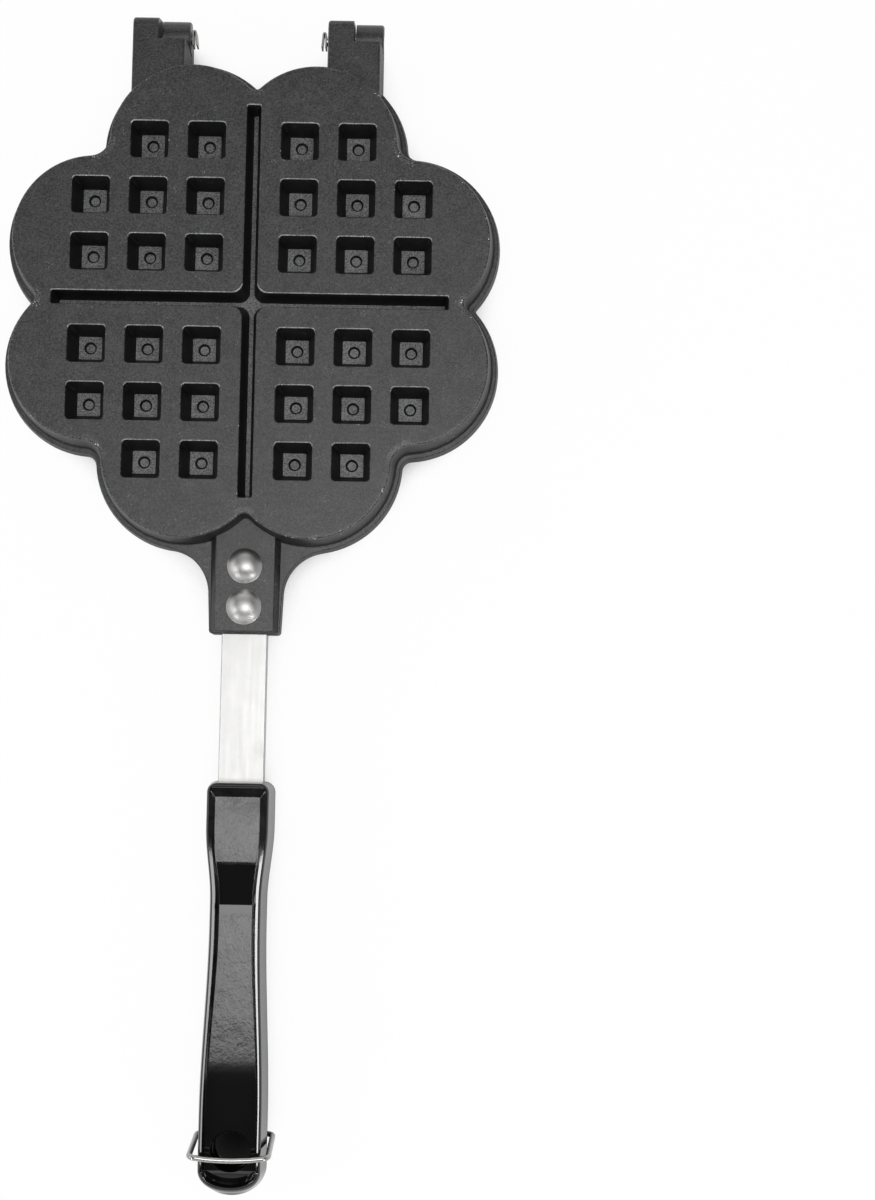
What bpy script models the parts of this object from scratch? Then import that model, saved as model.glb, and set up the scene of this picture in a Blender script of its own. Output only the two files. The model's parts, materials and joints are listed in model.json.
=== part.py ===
"""Stovetop waffle iron: two equal drafted castings on a pinned hinge, with strap handles and a wire latch.

Everything is modelled round the parting plane, z = 0, with the plates' centre at x = y = 0, the hinge
towards +Y and the handles towards -Y. PLACE then moves the object so that it stands on z = 0 with its
bounding box centred on the origin. Each upper piece is modelled once, and its lower twin is the same form
turned over about the Y axis. All sizes are in metres.
"""
import math

import bmesh
import bpy
from mathutils import Matrix, Vector

MM = 0.001
BEYOND = 2 * MM
SMOOTH_ANGLE = math.radians(32)
SOFT_EDGE_ANGLE = math.radians(50)

# Clearances
FIT_GAP = 0.3 * MM
PARTING_GAP = 0.3 * MM
HANDLE_GAP = 0.9 * MM

# Plate casting, heights measured from its mating face
PLATE_HEIGHT = 14.0 * MM
PLATE_SKIN = 3.0 * MM
FLANGE_THICKNESS = 4.0 * MM
FLANGE_LEDGE = 1.5 * MM
FLANGE_DRAFT = 0.7 * MM
SIDE_DRAFT = 1.5 * MM
FACE_EDGE_RADIUS = 0.7 * MM
RIM_WALL = 2.6 * MM
CAVITY_DRAFT = 1.4 * MM

# Flower outline: eight lobes, in four hearts
LOBE_FAR = 52.9 * MM
LOBE_NEAR = 21.0 * MM
LOBE_RADIUS = 27.4 * MM
NOTCH_RADIUS = 3.0 * MM
HEART_NOTCH_RADIUS = 7.0 * MM
SHARPEST_NOTCH = 1.0 * MM
LOBE_STEPS = 9
NOTCH_STEPS = 2

# Waffle pockets: what is a square recess outside is a nub inside
POCKET_PITCH = 19.3 * MM
POCKET_FIRST = 15.7 * MM
POCKETS_PER_SIDE = 3
POCKET_MOUTH = 12.8 * MM
POCKET_FLOOR = 7.9 * MM
POCKET_DEPTH = 8.9 * MM
POCKET_MOUTH_CORNER = 1.0 * MM
POCKET_FLOOR_CORNER = 0.4 * MM
NUB_SKIN = 2.3 * MM
DIMPLE_DIAMETER = 4.2 * MM
DIMPLE_DEPTH = 0.5 * MM
DIMPLE_STEPS = 8

# Cross groove, which parts the four hearts
GROOVE_END_WALL = 5.2 * MM
GROOVE_END_DRAFT = 1.4 * MM
GROOVE_MOUTH = 4.8 * MM
GROOVE_FLOOR = 1.4 * MM
GROOVE_DEPTH = 8.9 * MM
GROOVE_CENTRE_RADIUS = 3.6 * MM
GROOVE_CENTRE_STEPS = 3
RIDGE_SKIN = 2.2 * MM
RIDGE_TIP_SKIN = 3.0 * MM

# Hinge
HINGE_REACH = 13.5 * MM
ARM_INNER = 23.4 * MM
ARM_WIDTH = 19.5 * MM
ARM_HEIGHT = 12.6 * MM
ARM_DRAFT = 0.95 * MM
ARM_EDGE_RADIUS = 0.7 * MM
KNUCKLE_RADIUS = 5.8 * MM
KNUCKLE_SPACE = 0.6 * MM
KNUCKLE_SIDE_GAP = 0.5 * MM
KNUCKLE_BACK = 3.2 * MM
KNUCKLE_BACK_RADIUS = 2.8 * MM
SHOULDER_SETBACK = 4.2 * MM
KNUCKLE_STEPS = 10
KNUCKLE_BACK_STEPS = 3
KNUCKLE_ROOM_STEPS = 4
PIN_DIAMETER = 3.2 * MM
PIN_HEAD_DIAMETER = 5.6 * MM
PIN_HEAD_THICKNESS = 1.4 * MM
PIN_HEAD_SINK = 0.4 * MM
PIN_STEPS = 14

# Folded spring clip on the inner end of each pin
CLIP_LENGTH = 5.2 * MM
CLIP_HEIGHT = 4.8 * MM
CLIP_SHEET = 0.5 * MM
CLIP_FLARE = 1.3 * MM
CLIP_FOLD = 0.4 * MM

# Handle tongue, cast with each plate
TONGUE_REACH = 31.3 * MM
TONGUE_TOP_WIDTH = 19.8 * MM
TONGUE_FOOT_WIDTH = 24.2 * MM
TONGUE_END_FOOT_WIDTH = 22.8 * MM
TONGUE_HEIGHT = 7.0 * MM
TONGUE_END_DRAFT = 0.4 * MM
WEB_WIDTH = 24.8 * MM
WEB_END_WIDTH = 23.8 * MM
WEB_RADIUS = 15.4 * MM
WEB_CORNER = 1.2 * MM
WEB_CORNER_STEPS = 2
WEB_STEPS = 6

# Strap and its rivets
STRAP_WIDTH = 15.2 * MM
STRAP_THICKNESS = 2.5 * MM
STRAP_LEAD = 8.9 * MM
STRAP_END_INSET = 31.0 * MM
STRAP_END_RADIUS = 4.0 * MM
STRAP_END_STEPS = 4
RIVET_DIAMETER = 11.8 * MM
RIVET_HEIGHT = 3.0 * MM
RIVET_SHANK = 5.0 * MM
RIVET_CLENCH = 7.4 * MM
RIVET_CLENCH_DEPTH = 1.2 * MM
RIVET_INSET = 8.9 * MM
RIVET_SPACING = 13.8 * MM
ROUND_STEPS = 16
DOME_STEPS = 3

# Grip: half of a moulded handle. What starts is measured from its front, an inset from its nose.
GRIP_FRONT = 160.8 * MM
GRIP_LENGTH = 136.2 * MM
GRIP_END_DEPTH = 9.5 * MM
GRIP_FRONT_WIDTH = 22.8 * MM
GRIP_WAIST_WIDTH = 19.0 * MM
GRIP_REAR_WIDTH = 22.8 * MM
GRIP_FRONT_CORNER = 3.6 * MM
GRIP_SHARPEST_CORNER = 0.45 * MM
GRIP_WIDE_LENGTH = 15.2 * MM
GRIP_WAIST_START = 39.2 * MM
GRIP_WAIST_LENGTH = 8.0 * MM
GRIP_REAR_INSET = 27.0 * MM
GRIP_HEIGHT = 11.6 * MM
GRIP_WAIST_HEIGHT = 10.7 * MM
GRIP_REAR_HEIGHT = 10.6 * MM
GRIP_SIDE_DRAFT = 0.35 * MM
GRIP_SIDE_ROUND = 2.2 * MM
GRIP_RIM_EDGE = 2.1 * MM
GRIP_NOSE_EDGE = 3.0 * MM
GRIP_RIM = 0.6 * MM
GRIP_PANEL_FRONT_INSET = 5.2 * MM
GRIP_PANEL_INSET = 4.1 * MM
GRIP_PANEL_REAR_INSET = 3.2 * MM
GRIP_PANEL_END_INSET = 5.3 * MM
GRIP_FRONT_RECESS = 1.0 * MM
GRIP_REAR_RECESS = 2.2 * MM
GRIP_END_RECESS = 3.2 * MM
GRIP_STEP_START = 25.7 * MM
GRIP_STEP_LENGTH = 15.0 * MM
GRIP_FALL_INSET = 43.0 * MM
GRIP_CORNER_STEPS = 3
GRIP_SIDE_STEPS = 12
GRIP_END_STEPS = 6
HANG_HOLE = 13.0 * MM
HANG_HOLE_INSET = 15.2 * MM
HANG_HOLE_STEPS = 20

# Countersunk screws, from the parting side through the strap into the grip
SCREW_FRONT_INSET = 11.2 * MM
SCREW_END_INSET = 18.0 * MM
SCREW_DIAMETER = 3.2 * MM
SCREW_HEAD = 5.8 * MM
SCREW_HEAD_DEPTH = 1.5 * MM
SCREW_LENGTH = 7.0 * MM
SCREW_STEPS = 12

# Wire latch, hinged in the lower grip and swung over the upper one
LATCH_WIRE = 1.9 * MM
LATCH_PIVOT_INSET = 18.4 * MM
LATCH_PIVOT_DROP = 8.2 * MM
LATCH_BAR_INSET = 14.6 * MM
LATCH_BAR_GAP = 2.0 * MM
LATCH_BAR_BOW = 0.8 * MM
LATCH_SIDE_GAP = 0.45 * MM
LATCH_LEAN = 0.45 * MM
LATCH_BEND = 2.2 * MM
LATCH_HOLE_DEPTH = 2.2 * MM
LATCH_BEND_STEPS = 4
LATCH_RESOLUTION = 2

# What follows from the sizes above
MATING = PARTING_GAP / 2
FACE = MATING + PLATE_HEIGHT
FLANGE_TOP = MATING + FLANGE_THICKNESS
INNER_FLOOR = FACE - PLATE_SKIN
LEDGE_RADIUS = LOBE_RADIUS + SIDE_DRAFT + FLANGE_LEDGE
FLANGE_RADIUS = LEDGE_RADIUS + FLANGE_DRAFT
ARM_OUTER = ARM_INNER + ARM_WIDTH
ARM_SPLIT = ARM_INNER + ARM_WIDTH / 2
NOTCH_BOTTOM = LOBE_FAR + math.sqrt((LOBE_RADIUS + NOTCH_RADIUS) ** 2 - LOBE_NEAR ** 2) - NOTCH_RADIUS
GROOVE_LENGTH = 2 * (NOTCH_BOTTOM - GROOVE_END_WALL)
GROOVE_FLOOR_LENGTH = GROOVE_LENGTH - 2 * GROOVE_END_DRAFT
HINGE_Y = LOBE_FAR + LOBE_RADIUS + HINGE_REACH
TONGUE_END = LOBE_FAR + LOBE_RADIUS + TONGUE_REACH
RIVET_REAR = TONGUE_END - RIVET_INSET
RIVET_PLACES = {"front": RIVET_REAR - RIVET_SPACING, "rear": RIVET_REAR}
HANDLE_FACE = HANDLE_GAP / 2
STRAP_TOP = HANDLE_FACE + STRAP_THICKNESS
TONGUE_TOP = MATING + TONGUE_HEIGHT
GRIP_NOSE = GRIP_FRONT + GRIP_LENGTH
GRIP_END_FROM = GRIP_NOSE - GRIP_END_DEPTH
GRIP_WIDE_UNTIL = GRIP_FRONT + GRIP_WIDE_LENGTH
GRIP_WAIST_FROM = GRIP_FRONT + GRIP_WAIST_START
GRIP_WAIST_UNTIL = GRIP_WAIST_FROM + GRIP_WAIST_LENGTH
GRIP_REAR_FROM = GRIP_NOSE - GRIP_REAR_INSET
GRIP_STEP_FROM = GRIP_FRONT + GRIP_STEP_START
GRIP_STEP_UNTIL = GRIP_STEP_FROM + GRIP_STEP_LENGTH
GRIP_FALL_FROM = GRIP_NOSE - GRIP_FALL_INSET
HANG_HOLE_PLACE = GRIP_NOSE - HANG_HOLE_INSET
STRAP_START = RIVET_PLACES["front"] - STRAP_LEAD
STRAP_END = GRIP_NOSE - STRAP_END_INSET
SCREW_PLACES = {"front": GRIP_FRONT + SCREW_FRONT_INSET, "rear": STRAP_END - SCREW_END_INSET}
LATCH_PIVOT_Y = GRIP_NOSE - LATCH_PIVOT_INSET
LATCH_BAR_Y = GRIP_NOSE - LATCH_BAR_INSET
LATCH_BAR_RISE = HANDLE_FACE + GRIP_REAR_HEIGHT + LATCH_BAR_GAP + LATCH_WIRE / 2
LATCH_FOOT_WIDTH = GRIP_REAR_WIDTH + LATCH_WIRE + 2 * LATCH_SIDE_GAP
LATCH_TOP_WIDTH = LATCH_FOOT_WIDTH - 2 * LATCH_LEAN
HINGE = Vector((0, HINGE_Y, 0))
LATCH_PIVOT = Vector((0, -LATCH_PIVOT_Y, -LATCH_PIVOT_DROP))
LATCH_REACH = math.hypot(LATCH_BAR_Y - LATCH_PIVOT_Y, LATCH_PIVOT_DROP + LATCH_BAR_RISE)
LATCH_SWEEP = LATCH_REACH - LATCH_WIRE / 2 - FIT_GAP
PLACE = Vector((0, (GRIP_NOSE - HINGE_Y - KNUCKLE_RADIUS) / 2, FACE))


def clear_scene():
    """Removes what a new file holds."""
    for found in list(bpy.data.objects):
        bpy.data.objects.remove(found, do_unlink=True)


def new_collection(name):
    made = bpy.data.collections.new(name)
    bpy.context.scene.collection.children.link(made)
    return made


clear_scene()
IRON = new_collection("waffle_iron")
FORMS = new_collection("forms")


def mesh_object(name, shape, collection):
    """Makes an object from a bmesh, with its faces turned outwards."""
    bmesh.ops.recalc_face_normals(shape, faces=shape.faces)
    mesh = bpy.data.meshes.new(name)
    shape.to_mesh(mesh)
    shape.free()
    made = bpy.data.objects.new(name, mesh)
    collection.objects.link(made)
    return made


def form(name, shape):
    """A construction solid: seen in the viewport as wire, and never rendered."""
    made = mesh_object(name, shape, FORMS)
    made.display_type = "WIRE"
    made.hide_render = True
    return made


def boolean(target, tool, operation):
    step = target.modifiers.new(f"{operation.lower()} {tool.name}", "BOOLEAN")
    step.solver = "EXACT"
    step.operation = operation
    step.object = tool


def evaluated_mesh(source):
    """The mesh that an object has after its modifiers."""
    graph = bpy.context.evaluated_depsgraph_get()
    mesh = bpy.data.meshes.new_from_object(source.evaluated_get(graph))
    mesh.transform(source.matrix_world)
    return mesh


def material(name, colour, metallic, roughness):
    made = bpy.data.materials.new(name)
    made.use_nodes = True
    shader = made.node_tree.nodes["Principled BSDF"]
    shader.inputs["Base Color"].default_value = (*colour, 1)
    shader.inputs["Metallic"].default_value = metallic
    shader.inputs["Roughness"].default_value = roughness
    return made


def place(name, mesh, origin, look, turned_over=False):
    """Puts a finished piece in the object, with its origin on the axis that it turns on."""
    if turned_over:
        mesh.transform(Matrix.Rotation(math.pi, 4, "Y"))
    mesh.transform(Matrix.Translation(-origin))
    mesh.name = name
    mesh.materials.clear()
    mesh.materials.append(material(name, *look))
    mesh.shade_smooth()
    mesh.set_sharp_from_angle(angle=SMOOTH_ANGLE)
    made = bpy.data.objects.new(name, mesh)
    made.location = origin + PLACE
    IRON.objects.link(made)
    return made


def add_rings(shape, rings, top=True):
    """Lofts one skin through rings of equal counts. Returns the last ring's points."""
    loops = [[shape.verts.new(point) for point in ring] for ring in rings]
    count = len(loops[0])
    for low, high in zip(loops, loops[1:]):
        for i in range(count):
            j = (i + 1) % count
            shape.faces.new((low[i], low[j], high[j], high[i]))
    shape.faces.new(list(reversed(loops[0])))
    if top:
        shape.faces.new(loops[-1])
    return loops[-1]


def lofted(name, rings):
    """A drafted solid between unlike outlines."""
    shape = bmesh.new()
    add_rings(shape, rings)
    return form(name, shape)


def mesh_from_curve(curve):
    """The welded mesh of a curve, without the curve."""
    source = bpy.data.objects.new("curve", curve)
    FORMS.objects.link(source)
    mesh = evaluated_mesh(source)
    bpy.data.objects.remove(source)
    shape = bmesh.new()
    shape.from_mesh(mesh)
    bmesh.ops.remove_doubles(shape, verts=shape.verts, dist=MM / 1000)
    return shape


def flat_outline(outline, thickness):
    """A filled outline of this thickness, half of it on either side of its plane."""
    curve = bpy.data.curves.new("outline", "CURVE")
    curve.dimensions = "2D"
    curve.fill_mode = "BOTH"
    curve.extrude = thickness / 2
    spline = curve.splines.new("POLY")
    spline.points.add(len(outline) - 1)
    spline.use_cyclic_u = True
    for point, (x, y) in zip(spline.points, outline):
        point.co = (x, y, 0, 1)
    return mesh_from_curve(curve)


def extruded(name, outline, low, high):
    """A prism on a plan outline, between two heights."""
    shape = flat_outline(outline, high - low)
    bmesh.ops.translate(shape, verts=shape.verts, vec=(0, 0, (low + high) / 2))
    return form(name, shape)


SIDEWAYS = Matrix(((0, 0, 1, 0), (1, 0, 0, 0), (0, 1, 0, 0), (0, 0, 0, 1)))


def add_side_view(shape, outline, start, end):
    """Adds a prism on an outline seen from the side, as (y, z), between two places along X."""
    prism = flat_outline(outline, abs(end - start))
    bmesh.ops.transform(prism, verts=prism.verts, matrix=SIDEWAYS)
    bmesh.ops.translate(prism, verts=prism.verts, vec=((start + end) / 2, 0, 0))
    mesh = bpy.data.meshes.new("side_view")
    prism.to_mesh(mesh)
    prism.free()
    shape.from_mesh(mesh)
    bpy.data.meshes.remove(mesh)


def add_cylinder(shape, radius, start, end, steps):
    """Adds a cylinder between two points that lie along X or along Z."""
    start, end = Vector(start), Vector(end)
    turn = Vector((0, 0, 1)).rotation_difference(end - start).to_matrix().to_4x4()
    bmesh.ops.create_cone(
        shape, cap_ends=True, segments=steps, radius1=radius, radius2=radius, depth=(end - start).length,
        matrix=Matrix.Translation((start + end) / 2) @ turn)


def turned(name, profile, steps, centre, along="Z"):
    """A turned solid: profile holds (radius, place on its axis), from its top down to its bottom."""
    mesh = bpy.data.meshes.new(name)
    points = [(0, profile[0][1])] + profile + [(0, profile[-1][1])]
    mesh.from_pydata([(radius, 0, place_on) for radius, place_on in points],
                     [(i, i + 1) for i in range(len(points) - 1)], [])
    made = bpy.data.objects.new(name, mesh)
    FORMS.objects.link(made)
    made.display_type = "WIRE"
    made.hide_render = True
    spin = made.modifiers.new("spin", "SCREW")
    spin.steps = steps
    spin.render_steps = steps
    spin.use_merge_vertices = True
    spin.merge_threshold = MM / 100
    made.location = centre
    if along == "X":
        made.rotation_euler = (0, math.pi / 2, 0)
    bpy.context.view_layer.update()
    return made


def arc(centre, radius, start, end, steps):
    """Points from angle start to angle end, both in degrees, with both ends."""
    points = []
    for i in range(steps + 1):
        angle = math.radians(start + (end - start) * i / steps)
        points.append((centre[0] + radius * math.cos(angle), centre[1] + radius * math.sin(angle)))
    return points


def angle_to(start, end):
    return math.degrees(math.atan2(end[1] - start[1], end[0] - start[0]))


def at_height(points, z):
    return [(x, y, z) for x, y in points]


def circle(radius, steps):
    return arc((0, 0), radius, 0, 360 * (steps - 1) / steps, steps - 1)


def flower(radius):
    """The outline of the eight lobes, where the lobes have this radius."""
    grown = radius - LOBE_RADIUS
    notch = max(NOTCH_RADIUS - grown, SHARPEST_NOTCH)
    heart_notch = max(HEART_NOTCH_RADIUS - grown, SHARPEST_NOTCH)
    far_lobe = (LOBE_FAR, LOBE_NEAR)
    notch_centre = (LOBE_FAR + math.sqrt((radius + notch) ** 2 - LOBE_NEAR ** 2), 0)
    middle = (LOBE_FAR + LOBE_NEAR) / 2
    half_span = (LOBE_FAR - LOBE_NEAR) / 2
    reach = math.sqrt(((radius + heart_notch) ** 2 - 2 * half_span ** 2) / 2)
    heart_centre = (middle + reach, middle + reach)
    first = angle_to(far_lobe, notch_centre)
    last = angle_to(far_lobe, heart_centre)
    eighth = arc(notch_centre, notch, 180, 180 + first, NOTCH_STEPS)[:-1]
    eighth += arc(far_lobe, radius, first, last, LOBE_STEPS)
    eighth += arc(heart_centre, heart_notch, last + 180, 225, NOTCH_STEPS)[1:]
    quarter = eighth + [(y, x) for x, y in reversed(eighth[:-1])]
    quarter = quarter[:-1]
    outline = []
    for turn in range(4):
        for x, y in quarter:
            for _ in range(turn):
                x, y = -y, x
            outline.append((x, y))
    return outline


def cross(length, width, centre_radius):
    """The outline of the four-way groove, with its inner corners rounded."""
    half = width / 2
    corner = half + centre_radius
    arm = [(length / 2, -half), (length / 2, half)]
    arm += arc((corner, corner), centre_radius, 270, 180, GROOVE_CENTRE_STEPS)
    outline = []
    for turn in range(4):
        for x, y in arm:
            for _ in range(turn):
                x, y = -y, x
            outline.append((x, y))
    return outline


def square(centre, width, corner):
    """A square with its corners cut off."""
    half = width / 2
    cut = half - corner
    points = [(half, -cut), (half, cut), (cut, half), (-cut, half)]
    points += [(-half, cut), (-half, -cut), (-cut, -half), (cut, -half)]
    return [(centre[0] + x, centre[1] + y) for x, y in points]


def pocket_centres():
    """The hearts' pockets: a square block in each quarter, without the block's outer corner."""
    places = [POCKET_FIRST + POCKET_PITCH * i for i in range(POCKETS_PER_SIDE)]
    corner = places[-1]
    found = [(x, y) for x in places for y in places if (x, y) != (corner, corner)]
    return [(sx * x, sy * y) for x, y in found for sx in (1, -1) for sy in (1, -1)]


def pocket_width(depth):
    """The pocket's width at a depth below the plate's face, also past its ends."""
    return POCKET_MOUTH + (POCKET_FLOOR - POCKET_MOUTH) * depth / POCKET_DEPTH


def nub_width(depth):
    slope = math.atan2((POCKET_MOUTH - POCKET_FLOOR) / 2, POCKET_DEPTH)
    return pocket_width(depth) + 2 * NUB_SKIN / math.cos(slope)


def groove_width(depth):
    return GROOVE_MOUTH + (GROOVE_FLOOR - GROOVE_MOUTH) * depth / GROOVE_DEPTH


def pockets_form():
    """All recesses in the plate's outer face, each with the round dimple in its floor."""
    shape = bmesh.new()
    for centre in pocket_centres():
        dimple = [(centre[0] + u, centre[1] + v) for u, v in circle(DIMPLE_DIAMETER / 2, DIMPLE_STEPS)]
        dimple = dimple[-1:] + dimple[:-1]
        rings = [
            at_height(square(centre, pocket_width(-BEYOND), POCKET_MOUTH_CORNER), FACE + BEYOND),
            at_height(square(centre, POCKET_FLOOR, POCKET_FLOOR_CORNER), FACE - POCKET_DEPTH),
            at_height(dimple, FACE - POCKET_DEPTH),
            at_height(dimple, FACE - POCKET_DEPTH - DIMPLE_DEPTH),
        ]
        add_rings(shape, rings)
    return form("pockets", shape)


def nubs_form():
    """The solids that the recesses leave inside the cavity."""
    shape = bmesh.new()
    tip = POCKET_DEPTH + DIMPLE_DEPTH + NUB_SKIN
    root = PLATE_SKIN - BEYOND
    across = math.sqrt(0.5)
    turn = Matrix.Rotation(math.radians(45), 4, "Z")
    for x, y in pocket_centres():
        middle = Matrix.Translation((x, y, FACE - (tip + root) / 2))
        bmesh.ops.create_cone(
            shape, cap_ends=True, segments=4, radius1=nub_width(tip) * across,
            radius2=nub_width(root) * across, depth=tip - root, matrix=middle @ turn)
    return form("nubs", shape)


def groove_form():
    drop = (GROOVE_LENGTH - GROOVE_FLOOR_LENGTH) * BEYOND / GROOVE_DEPTH
    top = cross(GROOVE_LENGTH + drop, groove_width(-BEYOND), GROOVE_CENTRE_RADIUS)
    floor = cross(GROOVE_FLOOR_LENGTH, GROOVE_FLOOR, GROOVE_CENTRE_RADIUS)
    return lofted("groove", [at_height(floor, FACE - GROOVE_DEPTH), at_height(top, FACE + BEYOND)])


def ridge_form():
    """The ridge that the groove leaves inside. It runs into the rim at all four ends."""
    length = 2 * (LOBE_FAR + LOBE_RADIUS)
    tip_depth = GROOVE_DEPTH + RIDGE_TIP_SKIN
    tip = cross(length, groove_width(tip_depth) + 2 * RIDGE_SKIN, GROOVE_CENTRE_RADIUS)
    root_depth = PLATE_SKIN - BEYOND
    root = cross(length, groove_width(root_depth) + 2 * RIDGE_SKIN, GROOVE_CENTRE_RADIUS)
    return lofted("ridge", [at_height(tip, FACE - tip_depth), at_height(root, FACE - root_depth)])


def cavity_form():
    mouth = LOBE_RADIUS + SIDE_DRAFT - RIM_WALL
    spread = CAVITY_DRAFT * BEYOND / PLATE_HEIGHT
    rings = [
        at_height(flower(mouth + spread), MATING - BEYOND),
        at_height(flower(mouth - CAVITY_DRAFT), INNER_FLOOR),
    ]
    made = lofted("cavity", rings)
    boolean(made, nubs_form(), "DIFFERENCE")
    boolean(made, ridge_form(), "DIFFERENCE")
    return made


def plate_body():
    rings = [
        at_height(flower(FLANGE_RADIUS), MATING),
        at_height(flower(LEDGE_RADIUS), FLANGE_TOP),
        at_height(flower(LOBE_RADIUS + SIDE_DRAFT), FLANGE_TOP),
        at_height(flower(LOBE_RADIUS), FACE - FACE_EDGE_RADIUS),
        at_height(flower(LOBE_RADIUS - FACE_EDGE_RADIUS), FACE),
    ]
    return lofted("casting", rings)


def arm_profile():
    """The hinge arm seen from the side, as (y, z), with the knuckle round the hinge axis."""
    top = MATING + ARM_HEIGHT
    back_low = (HINGE_Y + KNUCKLE_RADIUS, 0)
    back_high = (HINGE_Y + KNUCKLE_BACK, top)
    lean = angle_to(back_low, back_high) - 90
    tangent = KNUCKLE_BACK_RADIUS * math.tan(math.radians((90 - lean) / 2))
    round_centre = (back_high[0] - tangent, top - KNUCKLE_BACK_RADIUS)
    points = [(LOBE_FAR, MATING), (HINGE_Y - KNUCKLE_RADIUS, MATING)]
    points += arc((HINGE_Y, 0), KNUCKLE_RADIUS, 180, 360, KNUCKLE_STEPS)[1:]
    points += arc(round_centre, KNUCKLE_BACK_RADIUS, lean, 90, KNUCKLE_BACK_STEPS)
    points.append((LOBE_FAR, top))
    return points


def arms_form():
    """Both arms at full width, drafted above the parting plane, with soft edges."""
    shape = bmesh.new()
    for side in (-1, 1):
        add_side_view(shape, arm_profile(), side * ARM_INNER, side * ARM_OUTER)
    everything = shape.verts[:] + shape.edges[:] + shape.faces[:]
    bmesh.ops.bisect_plane(
        shape, geom=everything, dist=MM / 1000, plane_co=(0, 0, MATING), plane_no=(0, 0, 1))
    for point in shape.verts:
        rise = max(point.co.z - MATING, 0) / ARM_HEIGHT
        inwards = 1 if abs(point.co.x) < ARM_SPLIT else -1
        point.co.x += inwards * math.copysign(ARM_DRAFT * rise, point.co.x)
    made = form("arms", shape)
    soft = made.modifiers.new("soft edges", "BEVEL")
    soft.width = ARM_EDGE_RADIUS
    soft.segments = 1
    soft.limit_method = "ANGLE"
    soft.angle_limit = SOFT_EDGE_ANGLE
    return made


def knuckle_room_form():
    """The room for the other casting's knuckle, in the left arm's inner and the right arm's outer half."""
    shape = bmesh.new()
    reach = KNUCKLE_RADIUS + KNUCKLE_SPACE
    start = math.degrees(math.acos(-SHOULDER_SETBACK / reach))
    side_view = [(HINGE_Y - SHOULDER_SETBACK, FACE + BEYOND)]
    side_view += arc((HINGE_Y, 0), reach, start, 180, KNUCKLE_ROOM_STEPS)
    behind = HINGE_Y + 2 * reach
    side_view += [(HINGE_Y - reach, -FACE), (behind, -FACE), (behind, FACE + BEYOND)]
    half_gap = KNUCKLE_SIDE_GAP / 2
    add_side_view(shape, side_view, -ARM_SPLIT - half_gap, -ARM_INNER + BEYOND)
    add_side_view(shape, side_view, ARM_SPLIT - half_gap, ARM_OUTER + BEYOND)
    return form("knuckle_room", shape)


def pin_bores():
    """The bores of both knuckles. The outer knuckle, on the left, is sunk for the pin's head."""
    bore = PIN_DIAMETER / 2 + FIT_GAP
    sink = PIN_HEAD_DIAMETER / 2 + FIT_GAP
    seat = ARM_OUTER - PIN_HEAD_SINK - PIN_HEAD_THICKNESS - FIT_GAP
    outside = ARM_OUTER + BEYOND
    inside = ARM_INNER - BEYOND
    left = [(bore, -inside), (bore, -seat), (sink, -seat), (sink, -outside)]
    right = [(bore, outside), (bore, inside)]
    return [
        turned("pin_bore_left", left, PIN_STEPS, HINGE, "X"),
        turned("pin_bore_right", right, PIN_STEPS, HINGE, "X"),
    ]


def web_outline():
    """The flange round the tongue, which flares into the lobes on either side."""
    lobe = (LOBE_NEAR, -LOBE_FAR)
    lobe_radius = (FLANGE_RADIUS + LEDGE_RADIUS) / 2
    flare_x = WEB_WIDTH / 2 + WEB_RADIUS
    flare_y = lobe[1] - math.sqrt((lobe_radius + WEB_RADIUS) ** 2 - (flare_x - lobe[0]) ** 2)
    flare_centre = (flare_x, flare_y)
    corner = (WEB_END_WIDTH / 2 - WEB_CORNER, WEB_CORNER - TONGUE_END)
    right = [lobe]
    right += arc(flare_centre, WEB_RADIUS, angle_to(flare_centre, lobe), 180, WEB_STEPS)
    right += arc(corner, WEB_CORNER, 0, -90, WEB_CORNER_STEPS)
    return right + [(-x, y) for x, y in reversed(right)]


def tongue_form():
    """The raised tongue on its flange. It has draft on its sides and its end."""
    web = extruded("web", web_outline(), MATING, FLANGE_TOP)
    foot = TONGUE_FOOT_WIDTH / 2
    end_foot = TONGUE_END_FOOT_WIDTH / 2
    top = TONGUE_TOP_WIDTH / 2
    back = TONGUE_END - TONGUE_END_DRAFT
    top_back = back - TONGUE_END_DRAFT
    low, middle = FLANGE_TOP - FIT_GAP, FLANGE_TOP
    rings = []
    base = [(foot, -LOBE_FAR), (-foot, -LOBE_FAR), (-end_foot, -back), (end_foot, -back)]
    for z in (low, middle):
        rings.append(at_height(base, z))
    roof = [(top, -LOBE_FAR), (-top, -LOBE_FAR), (-top, -top_back), (top, -top_back)]
    rings.append(at_height(roof, TONGUE_TOP))
    boolean(web, lofted("tongue", rings), "UNION")
    return web


def strap_room_form():
    """The channel under the tongue that the strap lies in."""
    half = STRAP_WIDTH / 2 + FIT_GAP
    front = -STRAP_START + FIT_GAP
    back = -TONGUE_END - BEYOND
    outline = [(half, front), (-half, front), (-half, back), (half, back)]
    return extruded("strap_room", outline, MATING - BEYOND, STRAP_TOP + FIT_GAP)


def rivet_holes_form():
    shape = bmesh.new()
    for distance in RIVET_PLACES.values():
        start = (0, -distance, MATING)
        end = (0, -distance, TONGUE_TOP + BEYOND)
        add_cylinder(shape, RIVET_SHANK / 2 + FIT_GAP, start, end, ROUND_STEPS)
    return form("rivet_holes", shape)


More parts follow.
